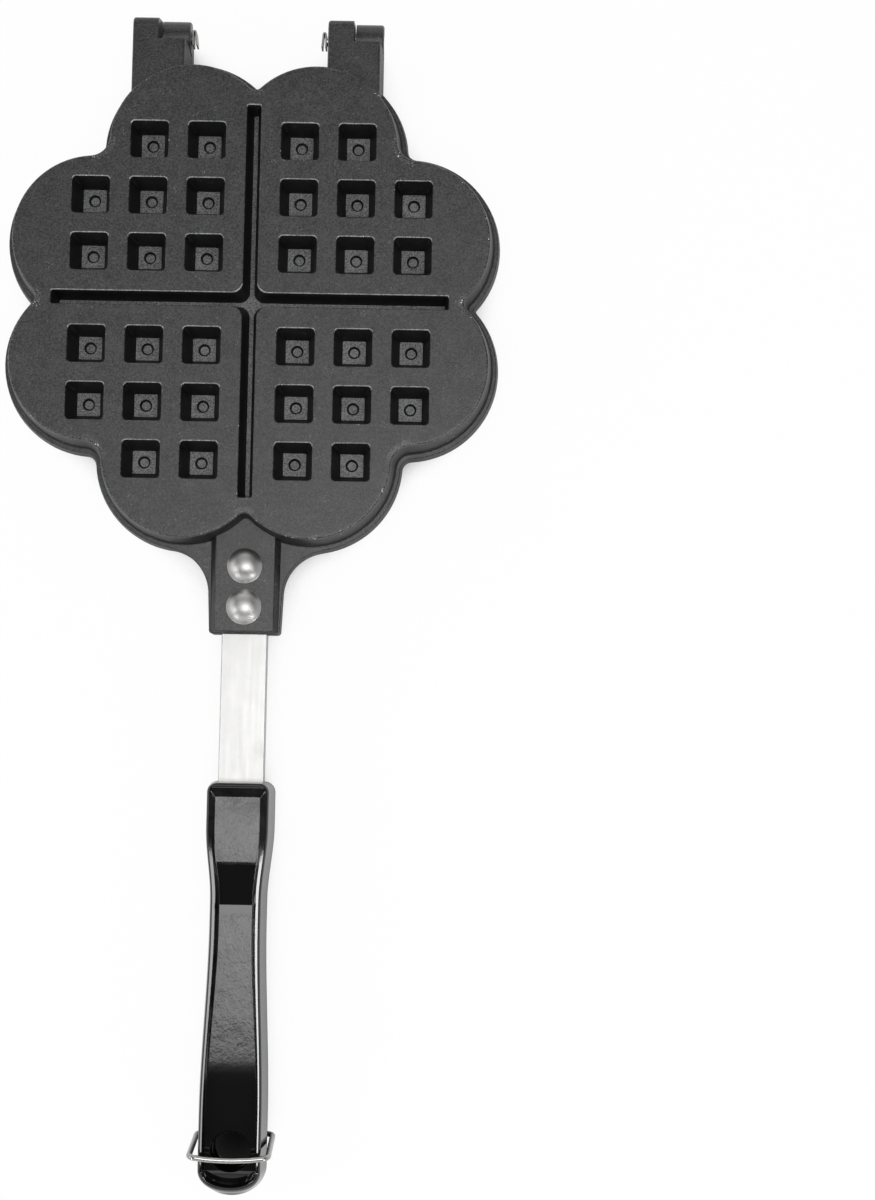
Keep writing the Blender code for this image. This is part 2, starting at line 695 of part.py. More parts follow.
def casting_mesh():
    """One plate with its arms and tongue. Both plates are this casting."""
    body = plate_body()
    boolean(body, arms_form(), "UNION")
    boolean(body, tongue_form(), "UNION")
    boolean(body, knuckle_room_form(), "DIFFERENCE")
    for bore in pin_bores():
        boolean(body, bore, "DIFFERENCE")
    boolean(body, cavity_form(), "DIFFERENCE")
    boolean(body, pockets_form(), "DIFFERENCE")
    boolean(body, groove_form(), "DIFFERENCE")
    boolean(body, strap_room_form(), "DIFFERENCE")
    boolean(body, rivet_holes_form(), "DIFFERENCE")
    return evaluated_mesh(body)


def strap_outline(front, grown):
    """The strap in plan, grown on all sides: square under the tongue, round inside the grip."""
    half = STRAP_WIDTH / 2 + grown
    end = -STRAP_END - grown
    round_off = STRAP_END_RADIUS + grown
    outline = [(half, front), (-half, front)]
    outline += arc((-half + round_off, end + round_off), round_off, 180, 270, STRAP_END_STEPS)
    outline += arc((half - round_off, end + round_off), round_off, 270, 360, STRAP_END_STEPS)
    return outline


def countersunk_hole(name, sizes, distance, steps):
    """A hole through the strap, countersunk on the parting side. Its sizes are head, shank and depth."""
    head, shank, depth = sizes
    profile = [
        (shank / 2 + FIT_GAP, STRAP_TOP + BEYOND),
        (shank / 2 + FIT_GAP, HANDLE_FACE + depth),
        (head / 2 + FIT_GAP, HANDLE_FACE),
        (head / 2 + FIT_GAP, HANDLE_FACE - BEYOND),
    ]
    return turned(name, profile, steps, (0, -distance, 0))


def strap_mesh():
    body = extruded("strap", strap_outline(-STRAP_START, 0), HANDLE_FACE, STRAP_TOP)
    for name, distance in RIVET_PLACES.items():
        sizes = (RIVET_CLENCH, RIVET_SHANK, RIVET_CLENCH_DEPTH)
        boolean(body, countersunk_hole(f"rivet_hole_{name}", sizes, distance, ROUND_STEPS), "DIFFERENCE")
    for name, distance in SCREW_PLACES.items():
        sizes = (SCREW_HEAD, SCREW_DIAMETER, SCREW_HEAD_DEPTH)
        boolean(body, countersunk_hole(f"screw_hole_{name}", sizes, distance, SCREW_STEPS), "DIFFERENCE")
    return evaluated_mesh(body)


def rivet_mesh(distance):
    """Domed head on the tongue, shank through tongue and strap, clenched flush in the strap."""
    radius = RIVET_DIAMETER / 2
    base = TONGUE_TOP + FIT_GAP
    ball = (radius ** 2 + RIVET_HEIGHT ** 2) / (2 * RIVET_HEIGHT)
    edge = math.degrees(math.asin(radius / ball))
    dome = arc((0, base + RIVET_HEIGHT - ball), ball, 90, 90 - edge, DOME_STEPS)
    shank = [
        (RIVET_SHANK / 2, base),
        (RIVET_SHANK / 2, HANDLE_FACE + RIVET_CLENCH_DEPTH),
        (RIVET_CLENCH / 2, HANDLE_FACE),
    ]
    return evaluated_mesh(turned("rivet", dome[1:] + shank, ROUND_STEPS, (0, -distance, 0)))


def screw_mesh(distance):
    point = SCREW_DIAMETER / 4
    profile = [
        (point, HANDLE_FACE + SCREW_LENGTH),
        (SCREW_DIAMETER / 2, HANDLE_FACE + SCREW_LENGTH - point),
        (SCREW_DIAMETER / 2, HANDLE_FACE + SCREW_HEAD_DEPTH),
        (SCREW_HEAD / 2, HANDLE_FACE),
    ]
    return evaluated_mesh(turned("screw", profile, SCREW_STEPS, (0, -distance, 0)))


def eased(value, stations):
    """Reads a smooth curve that is level at each station, where stations are (place, height) pairs."""
    if value <= stations[0][0]:
        return stations[0][1]
    for (start, low), (end, high) in zip(stations, stations[1:]):
        if value <= end:
            t = (value - start) / (end - start)
            return low + (high - low) * t * t * (3 - 2 * t)
    return stations[-1][1]


def grip_half_width(along):
    stations = [
        (GRIP_WIDE_UNTIL, GRIP_FRONT_WIDTH / 2),
        (GRIP_WAIST_FROM, GRIP_WAIST_WIDTH / 2),
        (GRIP_WAIST_UNTIL, GRIP_WAIST_WIDTH / 2),
        (GRIP_REAR_FROM, GRIP_REAR_WIDTH / 2),
    ]
    return eased(along, stations)


def grip_rim_height(along):
    """The height of the grip's rim. Its nose keeps inside the circle that the latch's bar swings on."""
    stations = [
        (GRIP_WIDE_UNTIL, GRIP_HEIGHT),
        (GRIP_WAIST_FROM, GRIP_WAIST_HEIGHT),
        (GRIP_REAR_FROM, GRIP_REAR_HEIGHT),
    ]
    height = eased(along, stations)
    if along > LATCH_PIVOT_Y:
        swept = math.sqrt(LATCH_SWEEP ** 2 - (along - LATCH_PIVOT_Y) ** 2)
        height = min(height, swept - LATCH_PIVOT_DROP - HANDLE_FACE)
    return height


def grip_floor_drop(along):
    """How far the sunken back lies below the rim."""
    stations = [
        (GRIP_STEP_FROM, GRIP_FRONT_RECESS),
        (GRIP_STEP_UNTIL, GRIP_REAR_RECESS),
        (GRIP_FALL_FROM, GRIP_REAR_RECESS),
        (GRIP_END_FROM, GRIP_END_RECESS),
    ]
    return eased(along, stations)


def panel_inset(along):
    """How far the sunken back lies inside the grip's side."""
    return eased(along, [(GRIP_WAIST_UNTIL, GRIP_PANEL_INSET), (GRIP_REAR_FROM, GRIP_PANEL_REAR_INSET)])


def grip_outline(front_inset, side_inset, nose_inset):
    """The grip's right side from its front to the tip of its nose, as (x, distance back)."""
    corner = max(GRIP_FRONT_CORNER - front_inset, GRIP_SHARPEST_CORNER)
    front = GRIP_FRONT + front_inset
    corner_x = GRIP_FRONT_WIDTH / 2 - side_inset(front) - corner
    points = arc((corner_x, front + corner), corner, -90, 0, GRIP_CORNER_STEPS)
    start = GRIP_FRONT + GRIP_FRONT_CORNER
    for i in range(1, GRIP_SIDE_STEPS):
        along = start + (GRIP_END_FROM - start) * i / GRIP_SIDE_STEPS
        points.append((grip_half_width(along) - side_inset(along), along))
    across = GRIP_REAR_WIDTH / 2 - side_inset(GRIP_END_FROM)
    depth = GRIP_END_DEPTH - nose_inset
    points += [(across * x, GRIP_END_FROM + depth * y) for x, y in arc((0, 0), 1, 0, 90, GRIP_END_STEPS)]
    return points


def grip_ring(outline, drop):
    """A ring round the grip, as the right side and then the left, this far below the rim."""
    right = [(x, -along, HANDLE_FACE + grip_rim_height(along) - drop(along)) for x, along in outline]
    right[-1] = (0, right[-1][1], right[-1][2])
    return right + [(-x, y, z) for x, y, z in reversed(right[:-1])]


def grip_mesh(name, holds_latch):
    """A grip half: flat on the parting side, with a raised rim round its sunken back."""
    turn_in = GRIP_SIDE_ROUND * (1 - math.sqrt(0.5))
    sections = [
        (GRIP_SIDE_DRAFT, GRIP_SIDE_DRAFT, GRIP_SIDE_ROUND),
        (GRIP_SIDE_DRAFT + turn_in, GRIP_SIDE_DRAFT + turn_in, turn_in),
        (GRIP_RIM_EDGE, GRIP_NOSE_EDGE, 0),
        (GRIP_RIM_EDGE + GRIP_RIM, GRIP_NOSE_EDGE + GRIP_RIM, 0),
    ]
    foot = grip_outline(0, lambda along: 0, 0)
    rings = [[(x, y, HANDLE_FACE) for x, y, z in grip_ring(foot, lambda along: 0)]]
    for inset, nose_inset, drop in sections:
        outline = grip_outline(inset, lambda along: inset, nose_inset)
        rings.append(grip_ring(outline, lambda along: drop))
    panel = grip_outline(GRIP_PANEL_FRONT_INSET, panel_inset, GRIP_PANEL_END_INSET)
    rings.append(grip_ring(panel, grip_floor_drop))
    shape = bmesh.new()
    fill_back(shape, add_rings(shape, rings, top=False))
    body = form(name, shape)
    boolean(body, grip_channel_form(name), "DIFFERENCE")
    boolean(body, grip_bores_form(name), "DIFFERENCE")
    if holds_latch:
        boolean(body, latch_holes_form(), "DIFFERENCE")
    return evaluated_mesh(body)


def fill_back(shape, verts):
    """Fills the grip's sunken back in strips from side to side, because it isn't flat."""
    count = len(verts) // 2
    rights, tip, lefts = verts[:count], verts[count], verts[:count:-1]
    for i in range(count - 1):
        shape.faces.new((rights[i], rights[i + 1], lefts[i + 1], lefts[i]))
    shape.faces.new((rights[-1], tip, lefts[-1]))


def grip_channel_form(name):
    """The strap's channel, open to the parting side and to the front."""
    outline = strap_outline(-GRIP_FRONT + BEYOND, FIT_GAP)
    return extruded(f"{name}_channel", outline, HANDLE_FACE - BEYOND, STRAP_TOP + FIT_GAP)


def grip_bores_form(name):
    """The hanging hole and the blind holes of the screws."""
    shape = bmesh.new()
    low = HANDLE_FACE - BEYOND
    start = (0, -HANG_HOLE_PLACE, low)
    end = (0, -HANG_HOLE_PLACE, GRIP_HEIGHT + BEYOND)
    add_cylinder(shape, HANG_HOLE / 2, start, end, HANG_HOLE_STEPS)
    for distance in SCREW_PLACES.values():
        start = (0, -distance, low)
        end = (0, -distance, HANDLE_FACE + SCREW_LENGTH + FIT_GAP)
        add_cylinder(shape, SCREW_DIAMETER / 2 + FIT_GAP, start, end, SCREW_STEPS)
    return form(f"{name}_bores", shape)


def latch_holes_form():
    """The blind holes in the sides of the lower grip, which is still the right way up here."""
    shape = bmesh.new()
    outside = GRIP_REAR_WIDTH / 2
    for side in (-1, 1):
        start = (side * (outside + BEYOND), -LATCH_PIVOT_Y, LATCH_PIVOT_DROP)
        end = (side * (outside - LATCH_HOLE_DEPTH - FIT_GAP), -LATCH_PIVOT_Y, LATCH_PIVOT_DROP)
        add_cylinder(shape, LATCH_WIRE / 2 + FIT_GAP, start, end, SCREW_STEPS)
    return form("latch_holes", shape)


def pin_mesh(side):
    """A hinge pin, with its head sunk in the outer knuckle and its tail in the clip."""
    radius = PIN_DIAMETER / 2
    head = PIN_HEAD_DIAMETER / 2
    tail = ARM_INNER - FIT_GAP - CLIP_SHEET
    start = ARM_OUTER - PIN_HEAD_SINK
    profile = [
        (head, side * start),
        (head, side * (start - PIN_HEAD_THICKNESS)),
        (radius, side * (start - PIN_HEAD_THICKNESS)),
        (radius, side * tail),
    ]
    if side < 0:
        profile.reverse()
    return evaluated_mesh(turned("pin", profile, PIN_STEPS, HINGE, "X"))


def clip_outline():
    """The clip from above on the right side, as (x, y from the pin): a strip folded back to a V."""
    near = ARM_INNER - FIT_GAP
    front = -CLIP_LENGTH / 2
    back = CLIP_LENGTH / 2
    bend = back - CLIP_FOLD
    leaf = near - CLIP_SHEET
    outer_leaf = leaf - CLIP_FOLD
    tip = near - CLIP_FLARE
    slit = bend - CLIP_SHEET
    return [
        (near, front), (near, bend), (leaf, back), (outer_leaf, back), (outer_leaf - CLIP_SHEET, bend),
        (tip - CLIP_SHEET, front), (tip, front), (outer_leaf, slit), (leaf, slit), (leaf, front),
    ]


def clip_mesh(side):
    """A strip of spring steel folded to a V, open towards the plates, with the pin through its inner leaf."""
    name = "left" if side < 0 else "right"
    outline = [(side * x, HINGE_Y + y) for x, y in clip_outline()]
    body = extruded(f"clip_{name}", outline, -CLIP_HEIGHT / 2, CLIP_HEIGHT / 2)
    shape = bmesh.new()
    start = (side * (ARM_INNER + BEYOND), HINGE_Y, 0)
    end = (side * (ARM_INNER - FIT_GAP - CLIP_SHEET - CLIP_FOLD / 2), HINGE_Y, 0)
    add_cylinder(shape, PIN_DIAMETER / 2 + FIT_GAP, start, end, PIN_STEPS)
    boolean(body, form(f"clip_hole_{name}", shape), "DIFFERENCE")
    return evaluated_mesh(body)


def latch_route():
    """The wire's centre line: in at one side of the lower grip, up, over the upper grip and down again."""
    pivot_y, pivot_z = -LATCH_PIVOT_Y, -LATCH_PIVOT_DROP
    bar_y, bar_z = -LATCH_BAR_Y, LATCH_BAR_RISE
    inside = GRIP_REAR_WIDTH / 2 - LATCH_HOLE_DEPTH
    foot = Vector((LATCH_FOOT_WIDTH / 2, pivot_y, pivot_z))
    shoulder = Vector((LATCH_TOP_WIDTH / 2, bar_y, bar_z))
    right = [Vector((inside, pivot_y, pivot_z))]
    right += bend(Vector((inside, pivot_y, pivot_z)), foot, shoulder, LATCH_BEND)
    right += bend(foot, shoulder, Vector((0, bar_y - LATCH_BAR_BOW, bar_z)), LATCH_BEND)
    middle = Vector((0, bar_y - LATCH_BAR_BOW, bar_z))
    left = [Vector((-p.x, p.y, p.z)) for p in reversed(right)]
    return right + [middle] + left


def bend(before, corner, after, radius):
    """Replaces a corner of the route by an arc of this radius."""
    back = (before - corner).normalized()
    ahead = (after - corner).normalized()
    half = back.angle(ahead) / 2
    reach = radius / math.tan(half)
    centre = corner + (back + ahead).normalized() * (radius / math.sin(half))
    start = corner + back * reach - centre
    end = corner + ahead * reach - centre
    turn = start.angle(end)
    points = []
    for i in range(LATCH_BEND_STEPS + 1):
        t = i / LATCH_BEND_STEPS
        point = start * math.sin((1 - t) * turn) + end * math.sin(t * turn)
        points.append(centre + point / math.sin(turn))
    return points


def latch_mesh():
    """Sweeps the round wire along its route."""
    route = latch_route()
    curve = bpy.data.curves.new("latch_wire", "CURVE")
    curve.dimensions = "3D"
    curve.bevel_depth = LATCH_WIRE / 2
    curve.bevel_resolution = LATCH_RESOLUTION
    curve.use_fill_caps = True
    spline = curve.splines.new("POLY")
    spline.points.add(len(route) - 1)
    for point, spot in zip(spline.points, route):
        point.co = (*spot, 1)
    shape = mesh_from_curve(curve)
    bmesh.ops.recalc_face_normals(shape, faces=shape.faces)
    mesh = bpy.data.meshes.new("latch_wire")
    shape.to_mesh(mesh)
    shape.free()
    return mesh


CAST = ((0.055, 0.055, 0.058), 0.35, 0.55)
STEEL = ((0.78, 0.77, 0.75), 1.0, 0.22)
BAKELITE = ((0.012, 0.012, 0.013), 0.0, 0.22)

CASTING = casting_mesh()
STRAP = strap_mesh()
NOWHERE = Vector((0, 0, 0))

place("upper_plate", CASTING.copy(), HINGE, CAST)
place("lower_plate", CASTING, NOWHERE, CAST, turned_over=True)
place("upper_strap", STRAP.copy(), HINGE, STEEL)
place("lower_strap", STRAP, NOWHERE, STEEL, turned_over=True)
for where, distance in RIVET_PLACES.items():
    place(f"upper_{where}_rivet", rivet_mesh(distance), HINGE, STEEL)
    place(f"lower_{where}_rivet", rivet_mesh(distance), NOWHERE, STEEL, turned_over=True)
place("upper_grip", grip_mesh("upper_grip_form", False), HINGE, BAKELITE)
place("lower_grip", grip_mesh("lower_grip_form", True), NOWHERE, BAKELITE, turned_over=True)
for where, distance in SCREW_PLACES.items():
    place(f"upper_{where}_screw", screw_mesh(distance), HINGE, STEEL)
    place(f"lower_{where}_screw", screw_mesh(distance), NOWHERE, STEEL, turned_over=True)
for hand, side in (("left", -1), ("right", 1)):
    place(f"{hand}_hinge_pin", pin_mesh(side), NOWHERE, STEEL)
    place(f"{hand}_pin_clip", clip_mesh(side), NOWHERE, STEEL)
place("latch_wire", latch_mesh(), LATCH_PIVOT, STEEL)
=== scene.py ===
import json
import math

import bmesh
import bpy
from mathutils import Matrix, Vector

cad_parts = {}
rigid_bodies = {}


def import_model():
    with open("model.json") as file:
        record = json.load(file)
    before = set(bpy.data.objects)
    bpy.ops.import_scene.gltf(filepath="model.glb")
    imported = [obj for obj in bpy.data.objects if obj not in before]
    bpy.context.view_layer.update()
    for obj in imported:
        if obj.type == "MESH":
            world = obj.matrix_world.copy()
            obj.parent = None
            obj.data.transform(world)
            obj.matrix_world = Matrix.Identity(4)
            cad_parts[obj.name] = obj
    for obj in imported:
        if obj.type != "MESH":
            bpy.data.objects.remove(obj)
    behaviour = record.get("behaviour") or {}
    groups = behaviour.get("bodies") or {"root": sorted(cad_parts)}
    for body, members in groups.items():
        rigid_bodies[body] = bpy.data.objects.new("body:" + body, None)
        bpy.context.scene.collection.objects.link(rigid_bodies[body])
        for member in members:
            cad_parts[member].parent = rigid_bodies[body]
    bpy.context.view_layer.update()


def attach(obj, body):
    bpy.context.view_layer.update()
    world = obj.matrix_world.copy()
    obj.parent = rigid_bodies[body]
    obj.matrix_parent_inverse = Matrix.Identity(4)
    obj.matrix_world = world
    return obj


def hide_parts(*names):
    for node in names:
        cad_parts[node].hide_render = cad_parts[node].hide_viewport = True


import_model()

# Everything is modelled in millimetres round the parting plane, z = 0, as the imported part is: the
# plates' centre at x = y = 0, the hinge towards +Y. An upper piece is modelled, and its lower twin
# is the same mesh turned over about the Y axis. PLACE then brings it into the frame, in metres.
CENTRE_Y, PARTING_Z = 0.0987, 0.01415
PLACE = Matrix.Translation((0, CENTRE_Y, PARTING_Z)) @ Matrix.Scale(0.001, 4)
TURNED = Matrix.Rotation(math.pi, 4, "Y")
SHARP = math.radians(38)
PAST = 2  # how far a cutting form reaches past the surface that it cuts

# Casting: heights over the parting plane
MATING = 0.15
FLANGE_TOP = 4.15
INNER_FLOOR = 11.15
FACE = 14.15

# Casting: a lobe's centre, the lobes' radius at the face, their radii further down and inside, and
# how far the plate reaches from its centre without its flange
LOBE_FAR, LOBE_NEAR, LOBE_RADIUS = 52.9, 21.0, 27.4
SIDE_FOOT, LEDGE, FLANGE = 28.9, 30.4, 31.1
PLATE_REACH = 82
CAVITY_MOUTH, CAVITY_FLOOR = 26.34, 24.9
NOTCH, HEART_NOTCH, LEAST_NOTCH = 3.0, 7.0, 1.0

# Recesses of the face, and what stands inside under them. Mouth, floor, tip and root are half widths.
POCKETS = (15.7, 35.0, 54.3)
POCKET_DEPTH = 8.9
POCKET_MOUTH, POCKET_FLOOR = 6.4, 3.95
POCKET_CORNER, CORNER_TAPER, LEAST_CORNER = 1.35, 0.9, 0.12
LIP_RADIUS = 0.45
DIMPLE, DIMPLE_DRAFT, DIMPLE_DEPTH = 2.1, 0.55, 0.95
GROOVE_MOUTH, GROOVE_FLOOR = 2.4, 0.75
GROOVE_REACH, GROOVE_CENTRE = 66.7, 3.6
KNOB_TIP, KNOB_ROOT, KNOB_TIP_Z, KNOB_CORNER = 5.6, 7.96, 2.45, 1.2
RIDGE_TIP, RIDGE_ROOT, RIDGE_TIP_Z = 2.33, 4.03, 2.25

# Hinge
HINGE_Y = 93.8
ARM_INNER, ARM_OUTER, ARM_SPLIT = 23.4, 42.9, 33.15
ARM_HEIGHT, ARM_EDGE, ARM_LEAN = 12.6, 0.9, 0.95
ARM_BACK, ARM_BACK_RADIUS = 3.2, 2.8
KNUCKLE, KNUCKLE_GAP, SPLIT_GAP = 5.8, 0.6, 0.25
KNUCKLE_SHOULDER = 4.2
PIN_BORE, PIN_SEAT, PIN_SEAT_DEPTH = 1.9, 3.1, 2.1
PIN_SHANK, PIN_HEAD, PIN_HEAD_HEIGHT, PIN_TIP = 1.6, 2.8, 1.4, 22.6

# Tongue, and the web between it and the lobes
TONGUE_TOP, TONGUE_END = 7.15, 111.6
TONGUE_FOOT, TONGUE_SHOULDER, TONGUE_SLOPE = 12.1, 9.9, 2.2
WEB_HALF, WEB_FLARE, WEB_LOBE = 12.4, 15.4, 30.75
WEB_CORNER, WEB_CORNER_X = 1.2, 10.7

# Strap and its channel in the tongue and the grip, from its front to the centres of its rear corners
HANDLE_FACE = 0.45
STRAP_TOP = 2.95
STRAP_HALF, STRAP_CORNER, STRAP_FRONT = 7.6, 4, 80
CHANNEL_HALF, CHANNEL_CORNER, CHANNEL_FRONT = 7.9, 4.3, 79.7
CHANNEL_TOP = STRAP_TOP + 0.3
STRAP_CORNER_X, STRAP_CORNER_Y = 3.6, 262

# Rivets and screws, by their distance from the plates' centre
RIVETS = {"front": 88.9, "rear": 102.7}
RIVET_HEAD, RIVET_HEIGHT, RIVET_SHANK, RIVET_FOOT, RIVET_FOOT_DEPTH = 5.9, 3.0, 2.5, 3.7, 1.2
RIVET_HOLE, RIVET_SINK = 2.8, 4.0
SCREWS = {"front": 172.0, "rear": 248.0}
SCREW_HEAD, SCREW_HEAD_DEPTH, SCREW_SHANK, SCREW_TIP = 2.9, 1.5, 1.6, 7.45
SCREW_HOLE, SCREW_SINK, SCREW_HOLE_TOP = 1.9, 3.2, 7.75
TONGUE_CUT_TOP, STRAP_CUT_TOP = 9, 5  # the top ends of what cuts the holes of tongue and strap

# Grip. Pairs are (distance from the plates' centre, value), with a smooth change between them.
# BEVELLED is the share that the rear's bevelled slope has in the rim's inner side.
GRIP_FRONT, GRIP_END, GRIP_NOSE = 160.8, 287.5, 297.0
GRIP_WIDE, GRIP_WAIST = 11.4, 9.5
HALF_WIDTHS = [(176, GRIP_WIDE), (200, GRIP_WAIST), (208, GRIP_WAIST), (270, GRIP_WIDE)]
RIM_HEIGHTS = [(176, 11.6), (200, 10.7), (270, 10.6)]
BACK_INSETS = [(208, 4.1), (270, 3.2)]
BEVELLED = [(179, 0), (188, 1)]
FRONT_DROP, MIDDLE_DROP, REAR_DROP = 1.0, 2.5, 3.4
FRONT_CORNER, FRONT_CORNER_END = 3.6, 164.4
FOOT_EDGE, FRONT_DRAFT = 0.25, 0.5
DRAFT, EDGE = 1.1, 1.7
CREST, NOSE_CREST, CREST_ANGLE = 1.95, 2.6, 76
BEVEL, BEVEL_FALL = 0.45, 0.42
HOLE_Y, HOLE_RADIUS, HOLE_RIM = 281.8, 6.5, 7.3

# Latch: the axis of its feet, and its bar when it is closed
LATCH_Y, LATCH_DROP, LATCH_REACH = 278.6, 8.2, 22.52
LATCH_CLEARANCE = 1.25
LATCH_HOLE, LATCH_HOLE_END, LATCH_FOOT_END = 1.25, 8.9, 9.2
LATCH_WIRE, LATCH_FOOT, LATCH_SHOULDER = 0.95, 12.7, 12.9
LATCH_BAR_Y, LATCH_BAR_Z, LATCH_BOW = 282.4, 14.0, 0.8

FORMS = bpy.data.collections.new("forms")
bpy.context.scene.collection.children.link(FORMS)


# ---------------------------------------------------------------- mesh helpers

def arc(centre, radius, start, end, steps):
    """Points from one angle to another, in degrees, with both ends."""
    points = []
    for i in range(steps + 1):
        angle = math.radians(start + (end - start) * i / steps)
        points.append((centre[0] + radius * math.cos(angle), centre[1] + radius * math.sin(angle)))
    return points


def angle_to(start, end):
    """The direction from one point to another, in degrees."""
    return math.degrees(math.atan2(end[1] - start[1], end[0] - start[0]))


def rounded(points, radii, steps):
    """An open path with its inner corners rounded. Works on 2D and on 3D points."""
    path = [Vector(points[0])]
    for before, corner, after, radius in zip(points, points[1:], points[2:], radii):
        before, corner, after = Vector(before), Vector(corner), Vector(after)
        if radius == 0:
            path.append(corner)
            continue
        back, ahead = (before - corner).normalized(), (after - corner).normalized()
        half = back.angle(ahead) / 2
        reach = radius / math.tan(half)
        centre = corner + (back + ahead).normalized() * (radius / math.sin(half))
        start, end = corner + back * reach - centre, corner + ahead * reach - centre
        turn = start.angle(end)
        for i in range(steps + 1):
            t = i / steps
            mixed = start * math.sin((1 - t) * turn) + end * math.sin(t * turn)
            path.append(centre + mixed / math.sin(turn))
    path.append(Vector(points[-1]))
    return path


def at_height(points, z):
    return [(x, y, z) for x, y in points]


def skin(rings, shape=None, high=True):
    """Lofts rings of equal counts, and returns the bmesh and the last ring's points.

    The first ring is closed, and the last one too where high is true.
    """
    shape = shape or bmesh.new()
    loops = [[shape.verts.new(point) for point in ring] for ring in rings]
    count = len(loops[0])
    for lower, upper in zip(loops, loops[1:]):
        for i in range(count):
            j = (i + 1) % count
            shape.faces.new((lower[i], lower[j], upper[j], upper[i]))
    shape.faces.new(loops[0][::-1])
    if high:
        shape.faces.new(loops[-1])
    return shape, loops[-1]


def solid(name, shape):
    """A helper object from a bmesh. All helpers are deleted once the pieces are made."""
    bmesh.ops.recalc_face_normals(shape, faces=shape.faces)
    mesh = bpy.data.meshes.new(name)
    shape.to_mesh(mesh)
    shape.free()
    made = bpy.data.objects.new(name, mesh)
    FORMS.objects.link(made)
    return made


def soften(target, width, segments):
    """Rounds the edges that turn by more than 50 degrees."""
    step = target.modifiers.new("soft edges", "BEVEL")
    step.width = width
    step.segments = segments
    step.limit_method = "ANGLE"
    step.angle_limit = math.radians(50)
    return target


def cut(target, *tools, operation="DIFFERENCE"):
    """Takes the tools away from the target, or joins them to it."""
    for tool in tools:
        step = target.modifiers.new(tool.name, "BOOLEAN")
        step.solver = "EXACT"
        step.operation = operation
        step.object = tool
    return target


def result(source):
    """The mesh of an object after its modifiers."""
    graph = bpy.context.evaluated_depsgraph_get()
    return bpy.data.meshes.new_from_object(source.evaluated_get(graph))


def prism(name, outline, low, high):
    return solid(name, skin([at_height(outline, low), at_height(outline, high)])[0])


def add_side_view(shape, outline, start, end):
    """Adds a prism on an outline seen from the side, as (y, z), between two places along X."""
    low, high = sorted((start, end))
    skin([[(low, y, z) for y, z in outline], [(high, y, z) for y, z in outline]], shape)


def lathe(name, profile, steps, centre, along_x=False):
    """A turned solid from (radius, place on the axis) pairs. The axis is Z, or else X."""
    last = 360 * (steps - 1) / steps
    rings = [at_height(arc((0, 0), radius, 0, last, steps - 1), place) for radius, place in profile]
    made = solid(name, skin(rings)[0])
    turn = Matrix.Rotation(math.pi / 2, 4, "Y") if along_x else Matrix.Identity(4)
    made.data.transform(Matrix.Translation(centre) @ turn)
    return made


def around(quarter):
    """Four copies of a quarter outline, each turned by a right angle."""
    outline = []
    for turn in range(4):
        for x, y in quarter:
            for _ in range(turn):
                x, y = -y, x
            outline.append((x, y))
    return outline


# ---------------------------------------------------------------- casting

POCKET_CENTRES = [(sx * x, sy * y) for x in POCKETS for y in POCKETS
                  if (x, y) != (POCKETS[-1], POCKETS[-1]) for sx in (1, -1) for sy in (1, -1)]


def flower(radius):
    """The outline of the eight lobes, where the lobes have this radius."""
    grown = radius - LOBE_RADIUS
    notch, heart_notch = max(NOTCH - grown, LEAST_NOTCH), max(HEART_NOTCH - grown, LEAST_NOTCH)
    lobe = (LOBE_FAR, LOBE_NEAR)
    notch_centre = (LOBE_FAR + math.sqrt((radius + notch) ** 2 - LOBE_NEAR ** 2), 0)
    middle, half_span = (LOBE_FAR + LOBE_NEAR) / 2, (LOBE_FAR - LOBE_NEAR) / 2
    reach = math.sqrt(((radius + heart_notch) ** 2 - 2 * half_span ** 2) / 2)
    heart_centre = (middle + reach, middle + reach)
    first, last = angle_to(lobe, notch_centre), angle_to(lobe, heart_centre)
    eighth = arc(notch_centre, notch, 180, 180 + first, 6)[:-1]
    eighth += arc(lobe, radius, first, last, 30)
    eighth += arc(heart_centre, heart_notch, last + 180, 225, 6)[1:]
    quarter = (eighth + [(y, x) for x, y in reversed(eighth[:-1])])[:-1]
    return around(quarter)


def rounded_square(centre, half, corner, steps=5):
    inner = half - corner
    quarter = arc((inner, inner), corner, 0, 90, steps)
    return [(centre[0] + x, centre[1] + y) for x, y in around(quarter)]


def cross(half_length, half_width, centre_radius):
    """The outline of the four-way groove, with round inner corners and soft ends."""
    soft = 0.3 * half_width
    end = half_length - soft
    quarter = arc((end, -half_width + soft), soft, -90, 0, 3)
    quarter += arc((end, half_width - soft), soft, 0, 90, 3)
    corner = half_width + centre_radius
    quarter += arc((corner, corner), centre_radius, 270, 180, 8)
    return around(quarter)


def recess_path(mouth, floor, fillet):
    """The section of a recess as (half width, height over the face), from above the face down.

    The lip's arc starts at its second point, so that no face of the tool lies in the plate's face.
    """
    corners = [(mouth + 3, 0), (mouth, 0), (floor, -POCKET_DEPTH), (0, -POCKET_DEPTH)]
    path = rounded(corners, [LIP_RADIUS, fillet], 5)
    return [(path[2][0] + 0.12, 1.0)] + [tuple(p) for p in path[2:-1]]


